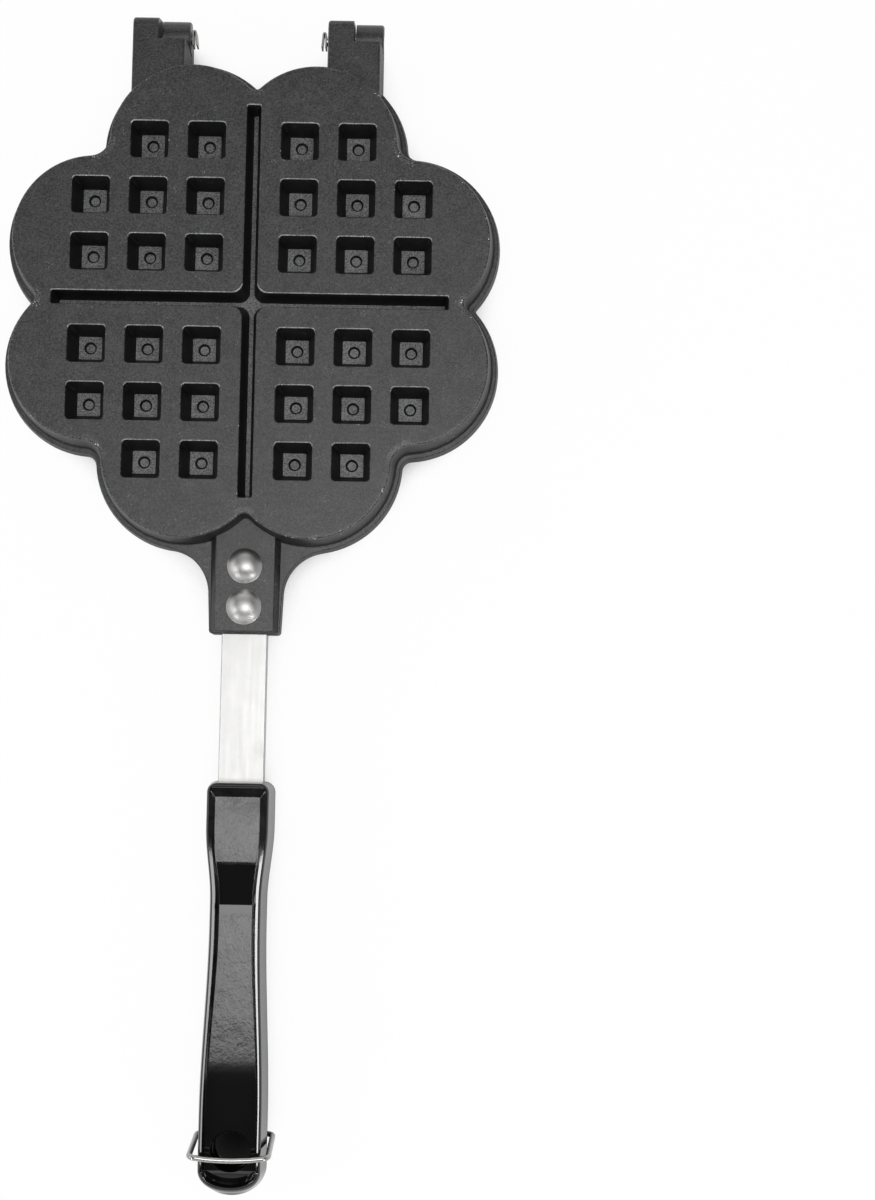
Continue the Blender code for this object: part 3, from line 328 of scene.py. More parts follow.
def pocket_form():
    """All 32 pockets with their dimples."""
    shape = bmesh.new()
    path = recess_path(POCKET_MOUTH, POCKET_FLOOR, 0.15)
    dimple = [(DIMPLE + 0.9, 0), (DIMPLE, 0), (DIMPLE - DIMPLE_DRAFT, -DIMPLE_DEPTH), (0, -DIMPLE_DEPTH)]
    dimple = rounded(dimple, [0.08, 0.25], 4)[1:-1]
    angles = [math.radians(7.5 + 15 * i) for i in range(24)]
    for x, y in POCKET_CENTRES:
        rings = []
        for half, height in path:
            depth = max(-height, 0)
            wall = POCKET_MOUTH + (POCKET_FLOOR - POCKET_MOUTH) * depth / POCKET_DEPTH
            corner = max(POCKET_CORNER - CORNER_TAPER * depth / POCKET_DEPTH + half - wall, LEAST_CORNER)
            rings.append(at_height(rounded_square((x, y), half, corner), FACE + height))
        for radius, height in dimple:
            ring = [(x + radius * math.cos(a), y + radius * math.sin(a)) for a in angles]
            rings.append(at_height(ring, FACE - POCKET_DEPTH + height))
        skin(rings[::-1], shape)
    return solid("pockets", shape)


def groove_form():
    """The four-way groove. Its ends lean in a little less than its sides."""
    rings = []
    for half, height in recess_path(GROOVE_MOUTH, GROOVE_FLOOR, 0.1):
        grown = half - GROOVE_MOUTH
        length = GROOVE_REACH + grown * (1 if grown > 0 else 0.82)
        rings.append(at_height(cross(length, half, GROOVE_CENTRE), FACE + height))
    return solid("groove", skin(rings[::-1])[0])


def inner_path(tip, root, tip_z):
    """The section of a knob or ridge inside, as (half width, z), from its tip up into the plate."""
    corners = [(0, tip_z), (tip, tip_z), (root, INNER_FLOOR), (root + 4, INNER_FLOOR)]
    path = rounded(corners, [0.9, 1.0], 4)
    return [tuple(p) for p in path[1:-2]] + [(path[-2][0] + 0.1, INNER_FLOOR + 1)]


def cavity_form():
    """The hollow of a plate, which leaves the knobs and the four-way ridge standing."""
    knobs = bmesh.new()
    path = inner_path(KNOB_TIP, KNOB_ROOT, KNOB_TIP_Z)
    for centre in POCKET_CENTRES:
        rings = []
        for half, z in path:
            corner = KNOB_CORNER + max(half - KNOB_ROOT, 0)
            rings.append(at_height(rounded_square(centre, half, corner, 4), z))
        skin(rings, knobs)
    ridge = [at_height(cross(PLATE_REACH, half, GROOVE_CENTRE), z)
             for half, z in inner_path(RIDGE_TIP, RIDGE_ROOT, RIDGE_TIP_Z)]
    section = [(29, -PAST), (CAVITY_MOUTH, MATING - 0.3), (CAVITY_FLOOR, INNER_FLOOR), (20, INNER_FLOOR)]
    section = rounded(section, [0, 1.6], 5)[:-1]
    cavity = solid("cavity", skin([at_height(flower(radius), z) for radius, z in section])[0])
    return cut(cavity, solid("knobs", knobs), solid("ridge", skin(ridge)[0]))


def plate_form():
    """The plate's outer shape: flange, ledge, drafted side and face."""
    corners = [(28, MATING), (FLANGE, MATING), (LEDGE, FLANGE_TOP), (SIDE_FOOT, FLANGE_TOP),
               (LOBE_RADIUS, FACE), (LOBE_RADIUS - 2, FACE)]
    section = rounded(corners, [0.3, 0.5, 0.5, 0.8], 5)[1:]
    return solid("plate", skin([at_height(flower(radius), z) for radius, z in section])[0])


def arm_view(inset):
    """An arm from the side, as (y, z), drawn in by this much everywhere but underneath."""
    top, radius = MATING + ARM_HEIGHT, KNUCKLE - inset
    behind = HINGE_Y - 1.02 * inset
    view = [(LOBE_FAR, MATING), (HINGE_Y - radius, MATING)]
    view += arc((HINGE_Y, 0), radius, 180, 360, 36)[1:]
    back = [(behind + KNUCKLE, 0), (behind + ARM_BACK + 0.2 * inset, top - inset), (LOBE_FAR, top - inset)]
    return view + [tuple(p) for p in rounded(back, [ARM_BACK_RADIUS - inset], 10)[1:]]


def arms_form():
    """Both hinge arms, with rounded edges, and leaning in towards their tops."""
    steps = 5
    angles = [math.radians(90 * i / steps) for i in range(steps + 1)]
    rounding = [(ARM_EDGE * (1 - math.cos(a)), ARM_EDGE * (1 - math.sin(a))) for a in angles]
    stations = [(ARM_INNER + x, inset) for x, inset in rounding]
    stations += [(ARM_OUTER - x, inset) for x, inset in reversed(rounding)]
    shape = bmesh.new()
    for side in (-1, 1):
        skin([[(side * x, y, z) for y, z in arm_view(inset)] for x, inset in stations], shape)
    bmesh.ops.recalc_face_normals(shape, faces=shape.faces)
    everything = shape.verts[:] + shape.edges[:] + shape.faces[:]
    bmesh.ops.bisect_plane(shape, geom=everything, dist=0.001, plane_co=(0, 0, MATING), plane_no=(0, 0, 1))
    for point in shape.verts:
        rise = max(point.co.z - MATING, 0) / ARM_HEIGHT
        inwards = 1 if abs(point.co.x) < ARM_SPLIT else -1
        point.co.x += inwards * math.copysign(ARM_LEAN * rise, point.co.x)
    return solid("arms", shape)


def knuckle_room_form():
    """What is cut from each arm for the other plate's knuckle: inner half left, outer half right."""
    shape = bmesh.new()
    reach = KNUCKLE + KNUCKLE_GAP
    start = math.degrees(math.acos(-KNUCKLE_SHOULDER / reach))
    behind = HINGE_Y + 2 * reach
    view = [(HINGE_Y - KNUCKLE_SHOULDER, FACE + PAST)] + arc((HINGE_Y, 0), reach, start, 180, 10)
    view += [(HINGE_Y - reach, -FACE), (behind, -FACE), (behind, FACE + PAST)]
    add_side_view(shape, view, -ARM_SPLIT - SPLIT_GAP, -ARM_INNER + PAST)
    add_side_view(shape, view, ARM_SPLIT - SPLIT_GAP, ARM_OUTER + PAST)
    return solid("knuckle_room", shape)


def web_outline(inset):
    """The web from above: a hollow flare from the front lobes down to the tongue's end."""
    lobe = (LOBE_NEAR, -LOBE_FAR)
    flare_x = WEB_HALF + WEB_FLARE
    flare_y = lobe[1] - math.sqrt((WEB_LOBE + WEB_FLARE) ** 2 - (flare_x - lobe[0]) ** 2)
    flare = (flare_x, flare_y)
    right = [lobe] + arc(flare, WEB_FLARE + inset, angle_to(flare, lobe), 180, 24)
    right += arc((WEB_CORNER_X, WEB_CORNER - TONGUE_END), WEB_CORNER - inset, 0, -90, 5)
    return right + [(-x, y) for x, y in reversed(right)]


def tongue_form():
    """The web and, on it, the raised tongue with its sloping flanks."""
    low, high = MATING + 0.02, FLANGE_TOP - 0.03
    web = rounded([(2, low), (0, low), (0, high), (2, high)], [0.25, 0.4], 4)[1:-1]
    web = solid("web", skin([at_height(web_outline(inset), z) for inset, z in web])[0])
    corners = [(TONGUE_FOOT, 3.6), (TONGUE_FOOT, FLANGE_TOP), (TONGUE_SHOULDER, TONGUE_TOP),
               (7.0, TONGUE_TOP)]
    rings = []
    for x, z in rounded(corners, [0, 0.7], 4):
        inset = TONGUE_FOOT - x
        slope, level = min(inset, TONGUE_SLOPE), max(inset - TONGUE_SLOPE, 0)
        back = 0.4 - TONGUE_END + slope * 0.18 + level
        rear = x - 0.7 * (1 - slope / TONGUE_SLOPE)
        corner = max(1.0 - level, 0.3)
        ring = [(x, -LOBE_FAR), (-x, -LOBE_FAR)]
        ring += arc((-rear + corner, back + corner), corner, 180, 270, 4)
        ring += arc((rear - corner, back + corner), corner, 270, 360, 4)
        rings.append(at_height(ring, z))
    return cut(web, solid("tongue", skin(rings)[0]), operation="UNION")


def casting_mesh():
    """An upper plate. The left knuckle takes the pin's head, in a seat sunk into its outer end."""
    body = plate_form()
    cut(body, arms_form(), tongue_form(), operation="UNION")
    seat = ARM_OUTER - PIN_SEAT_DEPTH
    left = [(PIN_BORE, -ARM_INNER + PAST), (PIN_BORE, -seat),
            (PIN_SEAT, -seat), (PIN_SEAT, -ARM_OUTER - PAST)]
    right = [(PIN_BORE, ARM_INNER - PAST), (PIN_BORE, ARM_OUTER + PAST)]
    left = lathe("bore_left", left, 32, (0, HINGE_Y, 0), True)
    right = lathe("bore_right", right, 32, (0, HINGE_Y, 0), True)
    strap = [(CHANNEL_HALF, -CHANNEL_FRONT), (-CHANNEL_HALF, -CHANNEL_FRONT),
             (-CHANNEL_HALF, -TONGUE_END - PAST), (CHANNEL_HALF, -TONGUE_END - PAST)]
    strap_room = prism("strap_room", strap, MATING - PAST, CHANNEL_TOP)
    cut(body, knuckle_room_form(), left, right, cavity_form(), pocket_form(), groove_form(), strap_room)
    for where, distance in RIVETS.items():
        hole = [(RIVET_HOLE, 0), (RIVET_HOLE, TONGUE_CUT_TOP)]
        cut(body, lathe(f"rivet_hole_{where}", hole, 32, (0, -distance, 0)))
    return result(body)


def in_recess(centre):
    """Whether a place on the face lies within the lips of the groove or of a pocket."""
    low, high = sorted((abs(centre.x), abs(centre.y)))
    if high < GROOVE_REACH + 0.6 and low < GROOVE_MOUTH + 0.2 or high < GROOVE_MOUTH + GROOVE_CENTRE + 0.2:
        return True
    half = POCKET_MOUTH + 0.2
    return any(abs(high - x) < half and abs(low - y) < half for x, y in POCKET_CENTRES)


def lobe_distance(centre):
    """How far a place is from the centre of its lobe."""
    far, near = max(abs(centre.x), abs(centre.y)), min(abs(centre.x), abs(centre.y))
    return math.hypot(far - LOBE_FAR, near - LOBE_NEAR)


def casting_look(centre, normal, area):
    """Which of CASTING_LOOKS a face of the casting has."""
    if normal.z < -0.3 and centre.z < INNER_FLOOR + 0.2 and centre.y < PLATE_REACH:
        return "inside"
    recess, near_face = in_recess(centre), centre.z > FACE - 1.1
    floor_z = FACE - POCKET_DEPTH
    if recess and normal.z > 0.95 and floor_z - DIMPLE_DEPTH - 0.1 < centre.z < floor_z + 0.1:
        return "floor"
    if recess and near_face and normal.z < 0.999:
        # Mouth fillets that face -Y take the lip look: a painted highlight, a far lighter copy of the
        # coating
        if normal.y < -0.12 and centre.z > FACE - 0.35:
            return "lip"
        # Recess walls take the wall look: painted shade, a darker and less glossy copy of the coating
        return "wall" if normal.z < 0.7 else "edge"
    # Rims and the other fillets take the edge look: worn lighter edges, and partly a painted highlight
    at_rim = area < 2.5 and lobe_distance(centre) > LOBE_RADIUS - 1.6
    if near_face and (normal.z < 0.999 or at_rim):
        return "edge"
    # Deeper recess walls also take the wall look's painted shade
    if recess and floor_z - DIMPLE_DEPTH - 0.1 < centre.z < FACE - 0.3:
        return "wall"
    # Outer walls take the side look: painted shade, a darker and less glossy copy of the coating
    outside = abs(centre.x) + abs(centre.y) > 60 and centre.y < PLATE_REACH + 3
    return "side" if normal.z < 0.6 and outside else "face"


# ---------------------------------------------------------------- straps and fasteners

def strap_outline(half, front, corner):
    """A strip with rounded corners at its rear end, seen from above."""
    outline = [(half, -front), (-half, -front)]
    outline += arc((-STRAP_CORNER_X, -STRAP_CORNER_Y), corner, 180, 270, 10)
    return outline + arc((STRAP_CORNER_X, -STRAP_CORNER_Y), corner, 270, 360, 10)


def strap_mesh():
    outline = strap_outline(STRAP_HALF, STRAP_FRONT, STRAP_CORNER)
    body = soften(prism("strap", outline, HANDLE_FACE, STRAP_TOP), 0.3, 3)
    for kind, places, sink, hole, depth in (("rivet", RIVETS, RIVET_SINK, RIVET_HOLE, RIVET_FOOT_DEPTH),
                                            ("screw", SCREWS, SCREW_SINK, SCREW_HOLE, SCREW_HEAD_DEPTH)):
        profile = [(sink, HANDLE_FACE - PAST), (sink, HANDLE_FACE), (hole, HANDLE_FACE + depth),
                   (hole, STRAP_CUT_TOP)]
        for where, distance in places.items():
            cut(body, lathe(f"{kind}_hole_{where}", profile, 40, (0, -distance, 0)))
    return result(body)


def rivet_mesh(distance):
    """A domed head on the tongue, a shank, and a foot clenched into the strap's countersink."""
    base = TONGUE_TOP + 0.3
    ball = (RIVET_HEAD ** 2 + RIVET_HEIGHT ** 2) / (2 * RIVET_HEIGHT)
    edge = math.degrees(math.asin(RIVET_HEAD / ball))
    dome = arc((0, base + RIVET_HEIGHT - ball), ball, 90 - edge + 3, 90, 16)
    profile = [(RIVET_FOOT, HANDLE_FACE), (RIVET_SHANK, HANDLE_FACE + RIVET_FOOT_DEPTH), (RIVET_SHANK, base)]
    profile += [(RIVET_HEAD - 0.15, base), (RIVET_HEAD, base + 0.12)]
    profile += dome[:-1] + [(0.05, base + RIVET_HEIGHT)]
    return result(lathe("rivet", profile, 64, (0, -distance, 0)))


def screw_mesh(distance):
    """A countersunk screw with a cross slot."""
    profile = [(SCREW_HEAD - 0.2, HANDLE_FACE), (SCREW_HEAD, HANDLE_FACE + 0.12),
               (SCREW_SHANK, HANDLE_FACE + SCREW_HEAD_DEPTH), (SCREW_SHANK, SCREW_TIP - 0.8),
               (SCREW_SHANK / 2, SCREW_TIP)]
    screw = lathe("screw", profile, 40, (0, -distance, 0))
    slot = [(-1.9, -0.35), (1.9, -0.35), (1.9, 0.35), (-1.9, 0.35)]
    for turn in (25, 115):
        tool = prism(f"driver_{turn}", slot, HANDLE_FACE - 1, HANDLE_FACE + 0.9)
        turned = Matrix.Rotation(math.radians(turn), 4, "Z")
        tool.data.transform(Matrix.Translation((0, -distance, 0)) @ turned)
        cut(screw, tool)
    return result(screw)


def pin_mesh(side):
    """A hinge pin. Its head lies in the outer seat, and its tip stands out inside the arms."""
    start = ARM_OUTER - 0.4
    corners = [(0, start), (PIN_HEAD, start), (PIN_HEAD, start - PIN_HEAD_HEIGHT),
               (PIN_SHANK, start - PIN_HEAD_HEIGHT), (PIN_SHANK, PIN_TIP), (0, PIN_TIP)]
    section = rounded(corners, [0.5, 0.1, 0, 0.35], 4)[1:-1]
    profile = [(radius, side * place) for radius, place in section]
    return result(lathe("pin", profile, 40, (0, HINGE_Y, 0), True))


def clip_mesh(side):
    """A strip folded into a spring on the pin's tip, seen from above as a line of even thickness."""
    near, sheet, half = ARM_INNER - 0.3, 0.5, 2.6
    folds = [(near - sheet / 2, -half), (near - sheet / 2, half - 0.45), (near - sheet - 0.2, half - 0.2),
             (near - sheet - 0.65, half - 0.45), (near - 1.3 - sheet / 2, -half)]
    line = rounded(folds, [0.35, 0.25, 0.35], 4)
    outer, inner = [], []
    for i, point in enumerate(line):
        before, after = line[max(i - 1, 0)], line[min(i + 1, len(line) - 1)]
        along = (after - before).normalized()
        across = Vector((along.y, -along.x)) * sheet / 2
        outer.append(point + across)
        inner.append(point - across)
    outline = [(side * x, HINGE_Y + y) for x, y in outer + inner[::-1]]
    body = soften(prism("clip", outline, -2.4, 2.4), 0.12, 2)
    hole = [(PIN_BORE, side * (near - 0.7)), (PIN_BORE, side * (near + PAST))]
    cut(body, lathe("clip_hole", hole, 32, (0, HINGE_Y, 0), True))
    return result(body)


# ---------------------------------------------------------------- grips

def eased(value, stations):
    """The value at a place between stations, with a smooth change from one to the next."""
    if value <= stations[0][0]:
        return stations[0][1]
    for (start, low), (end, high) in zip(stations, stations[1:]):
        if value <= end:
            t = (value - start) / (end - start)
            return low + (high - low) * t * t * (3 - 2 * t)
    return stations[-1][1]


# The sunken back from the side, as (distance, depth under the rim): level, a ramp, and a level rear
RAMP = rounded([(185, FRONT_DROP), (187.4, FRONT_DROP), (201.4, MIDDLE_DROP), (204, MIDDLE_DROP)],
               [9, 3], 6)[1:-1]
REAR = rounded([(204, MIDDLE_DROP), (256, MIDDLE_DROP), (GRIP_END, REAR_DROP), (300, REAR_DROP)],
               [60, 20], 8)[1:-1]
BACK = [Vector((150, FRONT_DROP)), *RAMP, *REAR, Vector((310, REAR_DROP))]

# Where the grip's sides have points: evenly spaced, and at the ramp's bends
EVEN_PLACES = [FRONT_CORNER_END + (GRIP_END - FRONT_CORNER_END) * i / 48 for i in range(1, 48)]
SIDE_PLACES = sorted(EVEN_PLACES + [bend.x for bend in RAMP])

# Where the inner slope of the rim has points, as shares of the way from the crest to the back
SLOPE_PLACES = (0.03, 0.15, 0.3, 0.42, 0.46, 0.5, 0.55, 0.61, 0.68, 0.76, 0.84, 0.91, 0.96, 1.0, 1.04)


def half_width(along):
    return eased(along, HALF_WIDTHS)


def rim_height(along):
    """The rim's height over the grip's lower face. At the nose it keeps clear of the latch's swing."""
    height = eased(along, RIM_HEIGHTS)
    if along > LATCH_Y:
        swept = math.sqrt((LATCH_REACH - LATCH_CLEARANCE) ** 2 - (along - LATCH_Y) ** 2)
        height = min(height, swept - LATCH_DROP - HANDLE_FACE)
    return height


def back_drop(along):
    """How far the sunken back lies under the rim."""
    for start, end in zip(BACK, BACK[1:]):
        if along <= end.x:
            return start.y + (end.y - start.y) * (along - start.x) / max(end.x - start.x, 1e-6)
    return BACK[-1].y


def back_inset(along):
    """How far the sunken back's edge lies inside the grip's side."""
    return eased(along, BACK_INSETS)


def slope_drop(along, across):
    """How far the rim's inner slope lies under the crest: straight in front, bevelled and steep behind."""
    over, drop = min(across, 1), back_drop(along)
    straight = drop * min(over * 1.04, 1)
    bevel = BEVEL_FALL * (back_inset(along) - CREST) * min(over, BEVEL)
    steep = max(over - BEVEL, 0) / (1 - BEVEL)
    behind = bevel + (drop - bevel) * (1 - (1 - steep) ** 1.6) ** 1.25
    return straight + (behind - straight) * eased(along, BEVELLED)


def grip_outline(front_inset, side_inset, nose_inset):
    """The right half of the grip from above, drawn in by these amounts. side_inset is a function."""
    corner = max(FRONT_CORNER - front_inset, 0.45)
    front = GRIP_FRONT + front_inset
    corner_x = GRIP_WIDE - side_inset(front) - corner
    points = arc((corner_x, front + corner), corner, -90, 0, 10)
    points += [(half_width(along) - side_inset(along), along) for along in SIDE_PLACES]
    across = GRIP_WIDE - side_inset(GRIP_END)
    depth = GRIP_NOSE - GRIP_END - nose_inset
    points += [(across * x, GRIP_END + depth * y) for x, y in arc((0, 0), 1, 0, 90, 24)]
    return points


def grip_ring(outline, height_at):
    """A closed ring from the right half of an outline and a function of the height along it."""
    right = [(x, -along, HANDLE_FACE + height_at(along)) for x, along in outline]
    right[-1] = (0, right[-1][1], right[-1][2])
    return right + [(-x, y, z) for x, y, z in reversed(right[:-1])]


def grip_form(name):
    """A grip's skin, from its lower face up its drafted sides, over the round crest and down inside."""
    rings = []
    for inset, height in ((FOOT_EDGE, 0.0), (0.0, FOOT_EDGE)):
        rings.append(grip_ring(grip_outline(inset, lambda along: inset, inset), lambda along: height))
    outline = grip_outline(FRONT_DRAFT, lambda along: DRAFT, DRAFT)
    rings.append(grip_ring(outline, lambda along: rim_height(along) - EDGE))
    full_turn = math.radians(CREST_ANGLE)
    for i in range(1, 10):
        angle = math.radians(CREST_ANGLE * i / 9)
        turn_in = (1 - math.cos(angle)) / (1 - math.cos(full_turn))
        rise = 1 - math.sin(angle) / math.sin(full_turn)
        front = FRONT_DRAFT + (CREST - FRONT_DRAFT) * turn_in
        side, nose = DRAFT + (CREST - DRAFT) * turn_in, DRAFT + (NOSE_CREST - DRAFT) * turn_in
        outline = grip_outline(front, lambda along: side, nose)
        rings.append(grip_ring(outline, lambda along: rim_height(along) - EDGE * rise))
    for share in SLOPE_PLACES:
        outline = grip_outline(CREST + 3.2 * share,
                               lambda along: CREST + (back_inset(along) - CREST) * share,
                               NOSE_CREST + 2.0 * share)
        rings.append(grip_ring(outline, lambda along: rim_height(along) - slope_drop(along, share)))
    shape, last = skin(rings, high=False)
    count = len(last) // 2
    rights, tip, lefts = last[:count], last[count], last[:count:-1]
    for i in range(count - 1):
        shape.faces.new((rights[i], rights[i + 1], lefts[i + 1], lefts[i]))
    shape.faces.new((rights[-1], tip, lefts[-1]))
    return solid(name, shape)


def grip_mesh(name, holds_latch):
    """A grip with its channel for the strap, its hanging hole and its screw holes."""
    body = grip_form(name)
    channel = strap_outline(CHANNEL_HALF, GRIP_FRONT - PAST, CHANNEL_CORNER)
    cut(body, prism(f"{name}_channel", channel, -PAST, CHANNEL_TOP))
    back = HANDLE_FACE + rim_height(HOLE_Y) - back_drop(HOLE_Y)
    hole = [(HOLE_RIM, -1), (7.0, HANDLE_FACE + 0.1), (HOLE_RADIUS, HANDLE_FACE + 0.6)]
    hole += [(HOLE_RADIUS, back - 0.5), (6.6, back - 0.2), (6.95, back + 0.1)]
    hole += [(HOLE_RIM, back + 0.6), (HOLE_RIM, back + 1)]
    cut(body, lathe(f"{name}_hole", hole, 64, (0, -HOLE_Y, 0)))
    for where, distance in SCREWS.items():
        hole = [(SCREW_HOLE, -1), (SCREW_HOLE, SCREW_HOLE_TOP)]
        cut(body, lathe(f"{name}_{where}", hole, 24, (0, -distance, 0)))
    if holds_latch:
        for side in (-1, 1):
            hole = [(LATCH_HOLE, side * LATCH_HOLE_END), (LATCH_HOLE, side * (GRIP_WIDE + PAST))]
            cut(body, lathe(f"{name}_{side}", hole, 24, (0, -LATCH_Y, LATCH_DROP), True))
    return result(body)


def grip_look(centre, normal, area):
    """Which of GRIP_LOOKS a face has: fine grain on the sunken back, and polish on all the rest."""
    along = -centre.y
    height = HANDLE_FACE + rim_height(min(max(along, GRIP_FRONT), GRIP_NOSE)) - back_drop(along)
    inside = abs(centre.x) < half_width(along) - back_inset(along) + 0.3 and along > GRIP_FRONT + 4.6
    return "grained" if normal.z > 0.97 and inside and abs(centre.z - height) < 0.12 else "polished"


# ---------------------------------------------------------------- latch

def latch_mesh():
    """The wire, from one foot over the closed bar to the other. The bar is bowed a little."""
    tip = (LATCH_FOOT_END, -LATCH_Y, -LATCH_DROP)
    foot = (LATCH_FOOT, -LATCH_Y, -LATCH_DROP)
    shoulder = (LATCH_SHOULDER, -LATCH_BAR_Y, LATCH_BAR_Z)
    middle = Vector((0, -LATCH_BAR_Y - LATCH_BOW, LATCH_BAR_Z))
    route = rounded([tip, foot, shoulder, middle], [2.2, 2.4], 12)[:-1]
    for t in (0.35, 0.7):
        route.append(route[-1].lerp(middle, t))
    for point in route[-2:]:
        point.y = -LATCH_BAR_Y - LATCH_BOW * (1 - (point.x / LATCH_SHOULDER) ** 2)
    route += [middle] + [Vector((-p.x, p.y, p.z)) for p in reversed(route)]
    curve = bpy.data.curves.new("latch", "CURVE")
    curve.dimensions = "3D"
    curve.bevel_depth = LATCH_WIRE
    curve.bevel_resolution = 6
    curve.use_fill_caps = True
    spline = curve.splines.new("POLY")
    spline.points.add(len(route) - 1)
    for point, spot in zip(spline.points, route):
        point.co = (*spot, 1)
    source = bpy.data.objects.new("latch", curve)
    FORMS.objects.link(source)
    shape = bmesh.new()
    shape.from_mesh(result(source))
    bmesh.ops.remove_doubles(shape, verts=shape.verts, dist=0.001)
    return result(solid("latch_tube", shape))


# ---------------------------------------------------------------- materials

# Noise scales are per metre, bump distances are in metres, and colours are linear.
WORN_GREY = (0.55, 0.55, 0.55)
GRIP_BLACK, GRIP_DULL_BLACK = (0.006, 0.006, 0.0065), (0.004, 0.004, 0.004)
SMUDGED = 0.84

# Where the grip's grain stops or starts along Y, in metres: at the ramp's front end, at its rear end,
# and towards the nose. The ramp and the nose get no grain or patches: painted shade, plain dull black.
RAMP_START_Y, RAMP_END_Y, NOSE_Y = (-0.0895, -0.0885), (-0.105, -0.107), (-0.156, -0.142)


class Nodes:
    """Short calls that add nodes to a tree and return their outputs."""

    def __init__(self, tree):
        self.tree = tree

    def feed(self, node, inputs):
        """Links each of these inputs to an output, or sets it to a number, a vector or a colour."""
        for key, value in inputs.items():
            socket = node.inputs[key]
            if isinstance(value, bpy.types.NodeSocket):
                self.tree.links.new(value, socket)
            elif isinstance(value, tuple) and len(socket.default_value) == 4:
                socket.default_value = (*value, 1)
            else:
                socket.default_value = value
        return node

    def new(self, kind, inputs=None):
        return self.feed(self.tree.nodes.new(f"ShaderNode{kind}"), inputs or {})

    def ranged(self, value, low, high, to_low=0.0, to_high=1.0):
        inputs = {"Value": value, "From Min": low, "From Max": high, "To Min": to_low, "To Max": to_high}
        return self.new("MapRange", inputs).outputs["Result"]

    def maths(self, operation, first, second):
        node = self.new("Math", {0: first, 1: second})
        node.operation = operation
        return node.outputs[0]

    def times(self, first, second):
        return self.maths("MULTIPLY", first, second)

    def plus(self, first, second):
        return self.maths("ADD", first, second)


class Look(Nodes):
    """A Principled material whose textures are placed by the piece's own coordinates, in metres."""

    def __init__(self, name, colour, metallic, roughness, specular=0.5):
        self.material = bpy.data.materials.new(name)
        self.material.use_nodes = True
        super().__init__(self.material.node_tree)
        self.shader = self.tree.nodes["Principled BSDF"]
        self.feed(self.shader, {"Base Color": colour, "Metallic": metallic, "Roughness": roughness,
                                "Specular IOR Level": specular})
        self.place = self.new("TexCoord").outputs["Object"]

    def stretched(self, scale):
        return self.new("Mapping", {"Vector": self.place, "Scale": scale}).outputs["Vector"]

    def noise(self, scale, detail=2.0, rough=0.5, place=None):
        inputs = {"Scale": scale, "Detail": detail, "Roughness": rough, "Vector": place or self.place}
        return self.new("TexNoise", inputs).outputs["Fac"]

    def cells(self, scale):
        return self.new("TexVoronoi", {"Scale": scale, "Vector": self.place}).outputs["Distance"]

    def along(self):
        return self.new("SeparateXYZ", {0: self.place}).outputs["Y"]

    def mixed(self, factor, first, second):
        """A mix of two colours, each a tuple or an output. 6, 7 and 2 are the node's colour sockets."""
        node = self.tree.nodes.new("ShaderNodeMix")
        node.data_type = "RGBA"
        return self.feed(node, {0: factor, 6: first, 7: second}).outputs[2]

    def bump(self, height, strength, distance, before=None):
        inputs = {"Strength": strength, "Distance": distance, "Height": height}
        if before:
            inputs["Normal"] = before
        return self.new("Bump", inputs).outputs["Normal"]

    def finish(self, colour, roughness, normal):
        self.feed(self.shader, {"Base Color": colour, "Roughness": roughness, "Normal": normal})
        return self.material


def cast_material(name, dark, light, rough, specks, grain, specular=0.5):
    """Coated cast iron: dark and light grains, a share of light specks where the coating is rubbed, and a
    grainy surface.
    """
    look = Look(name, (light, light, light), 0.0, rough, specular)
    fine, broad = look.noise(2000, 3, 0.75), look.noise(140, 4, 0.6)
    shade = look.ranged(look.plus(fine, look.times(broad, 0.2)), 0.48, 0.74)
    colour = look.mixed(shade, (dark, dark, dark * 1.03), (light, light, light * 1.03))
    dots = look.ranged(look.cells(1150), 0.3, 0.22)
    dots = look.times(dots, look.ranged(look.noise(300, 3), 0.6, 0.66))
    colour = look.mixed(look.times(dots, specks), colour, WORN_GREY)
    roughness = look.ranged(fine, 0.3, 0.7, rough - 0.06, rough + 0.06)
    coarse = look.bump(look.noise(600, 2), grain, 0.00008)
    return look.finish(colour, roughness, look.bump(fine, grain, 0.0001, coarse))


def grip_material(name, rough, uneven, grain, patch):
    """Glossy black moulding. Its grain and dull patches leave out the ramp and the nose: painted shade."""
    look = Look(name, GRIP_BLACK, 0.0, rough)
    where = look.along()
    rear = look.times(look.ranged(where, *RAMP_END_Y), look.ranged(where, *NOSE_Y))
    # 1 where grain and patches show, 0 on the ramp and the nose, which stay plain dull black as painted
    # shade
    outside_painted_shade = look.plus(look.ranged(where, *RAMP_START_Y), rear)
    swirl = look.noise(420, 5, 0.62, look.stretched((1.0, 0.7, 1.0)))
    clouds = look.plus(look.noise(150, 3), look.noise(1100, 4, 0.75))
    patches = look.times(outside_painted_shade, look.ranged(clouds, 0.85, 1.3))
    broad = look.bump(look.times(outside_painted_shade, swirl), grain, 0.0002)
    normal = look.bump(look.times(outside_painted_shade, look.noise(1500, 3, 0.7)), grain, 0.00006, broad)
    colour = look.mixed(patches, GRIP_DULL_BLACK, (patch, patch, patch))
    return look.finish(colour, look.ranged(patches, 0.0, 1.0, rough, rough + uneven), normal)


def steel_material(name, colour, rough, lines, stretch=(1.0, 1.0, 1.0)):
    """Bare metal with faint smudges, and with drawn lines along the axis that is stretched."""
    look = Look(name, colour, 1.0, rough)
    drawn, cloud = look.noise(900, 3, 0.6, look.stretched(stretch)), look.noise(70, 3)
    uneven = look.plus(cloud, look.times(drawn, 0.4))
    roughness = look.ranged(uneven, 0.4, 1.0, rough * 0.8, rough * 1.2)
    tint = look.mixed(look.ranged(cloud, 0.4, 0.56), tuple(SMUDGED * c for c in colour), colour)
    return look.finish(tint, roughness, look.bump(drawn, lines, 0.00003))


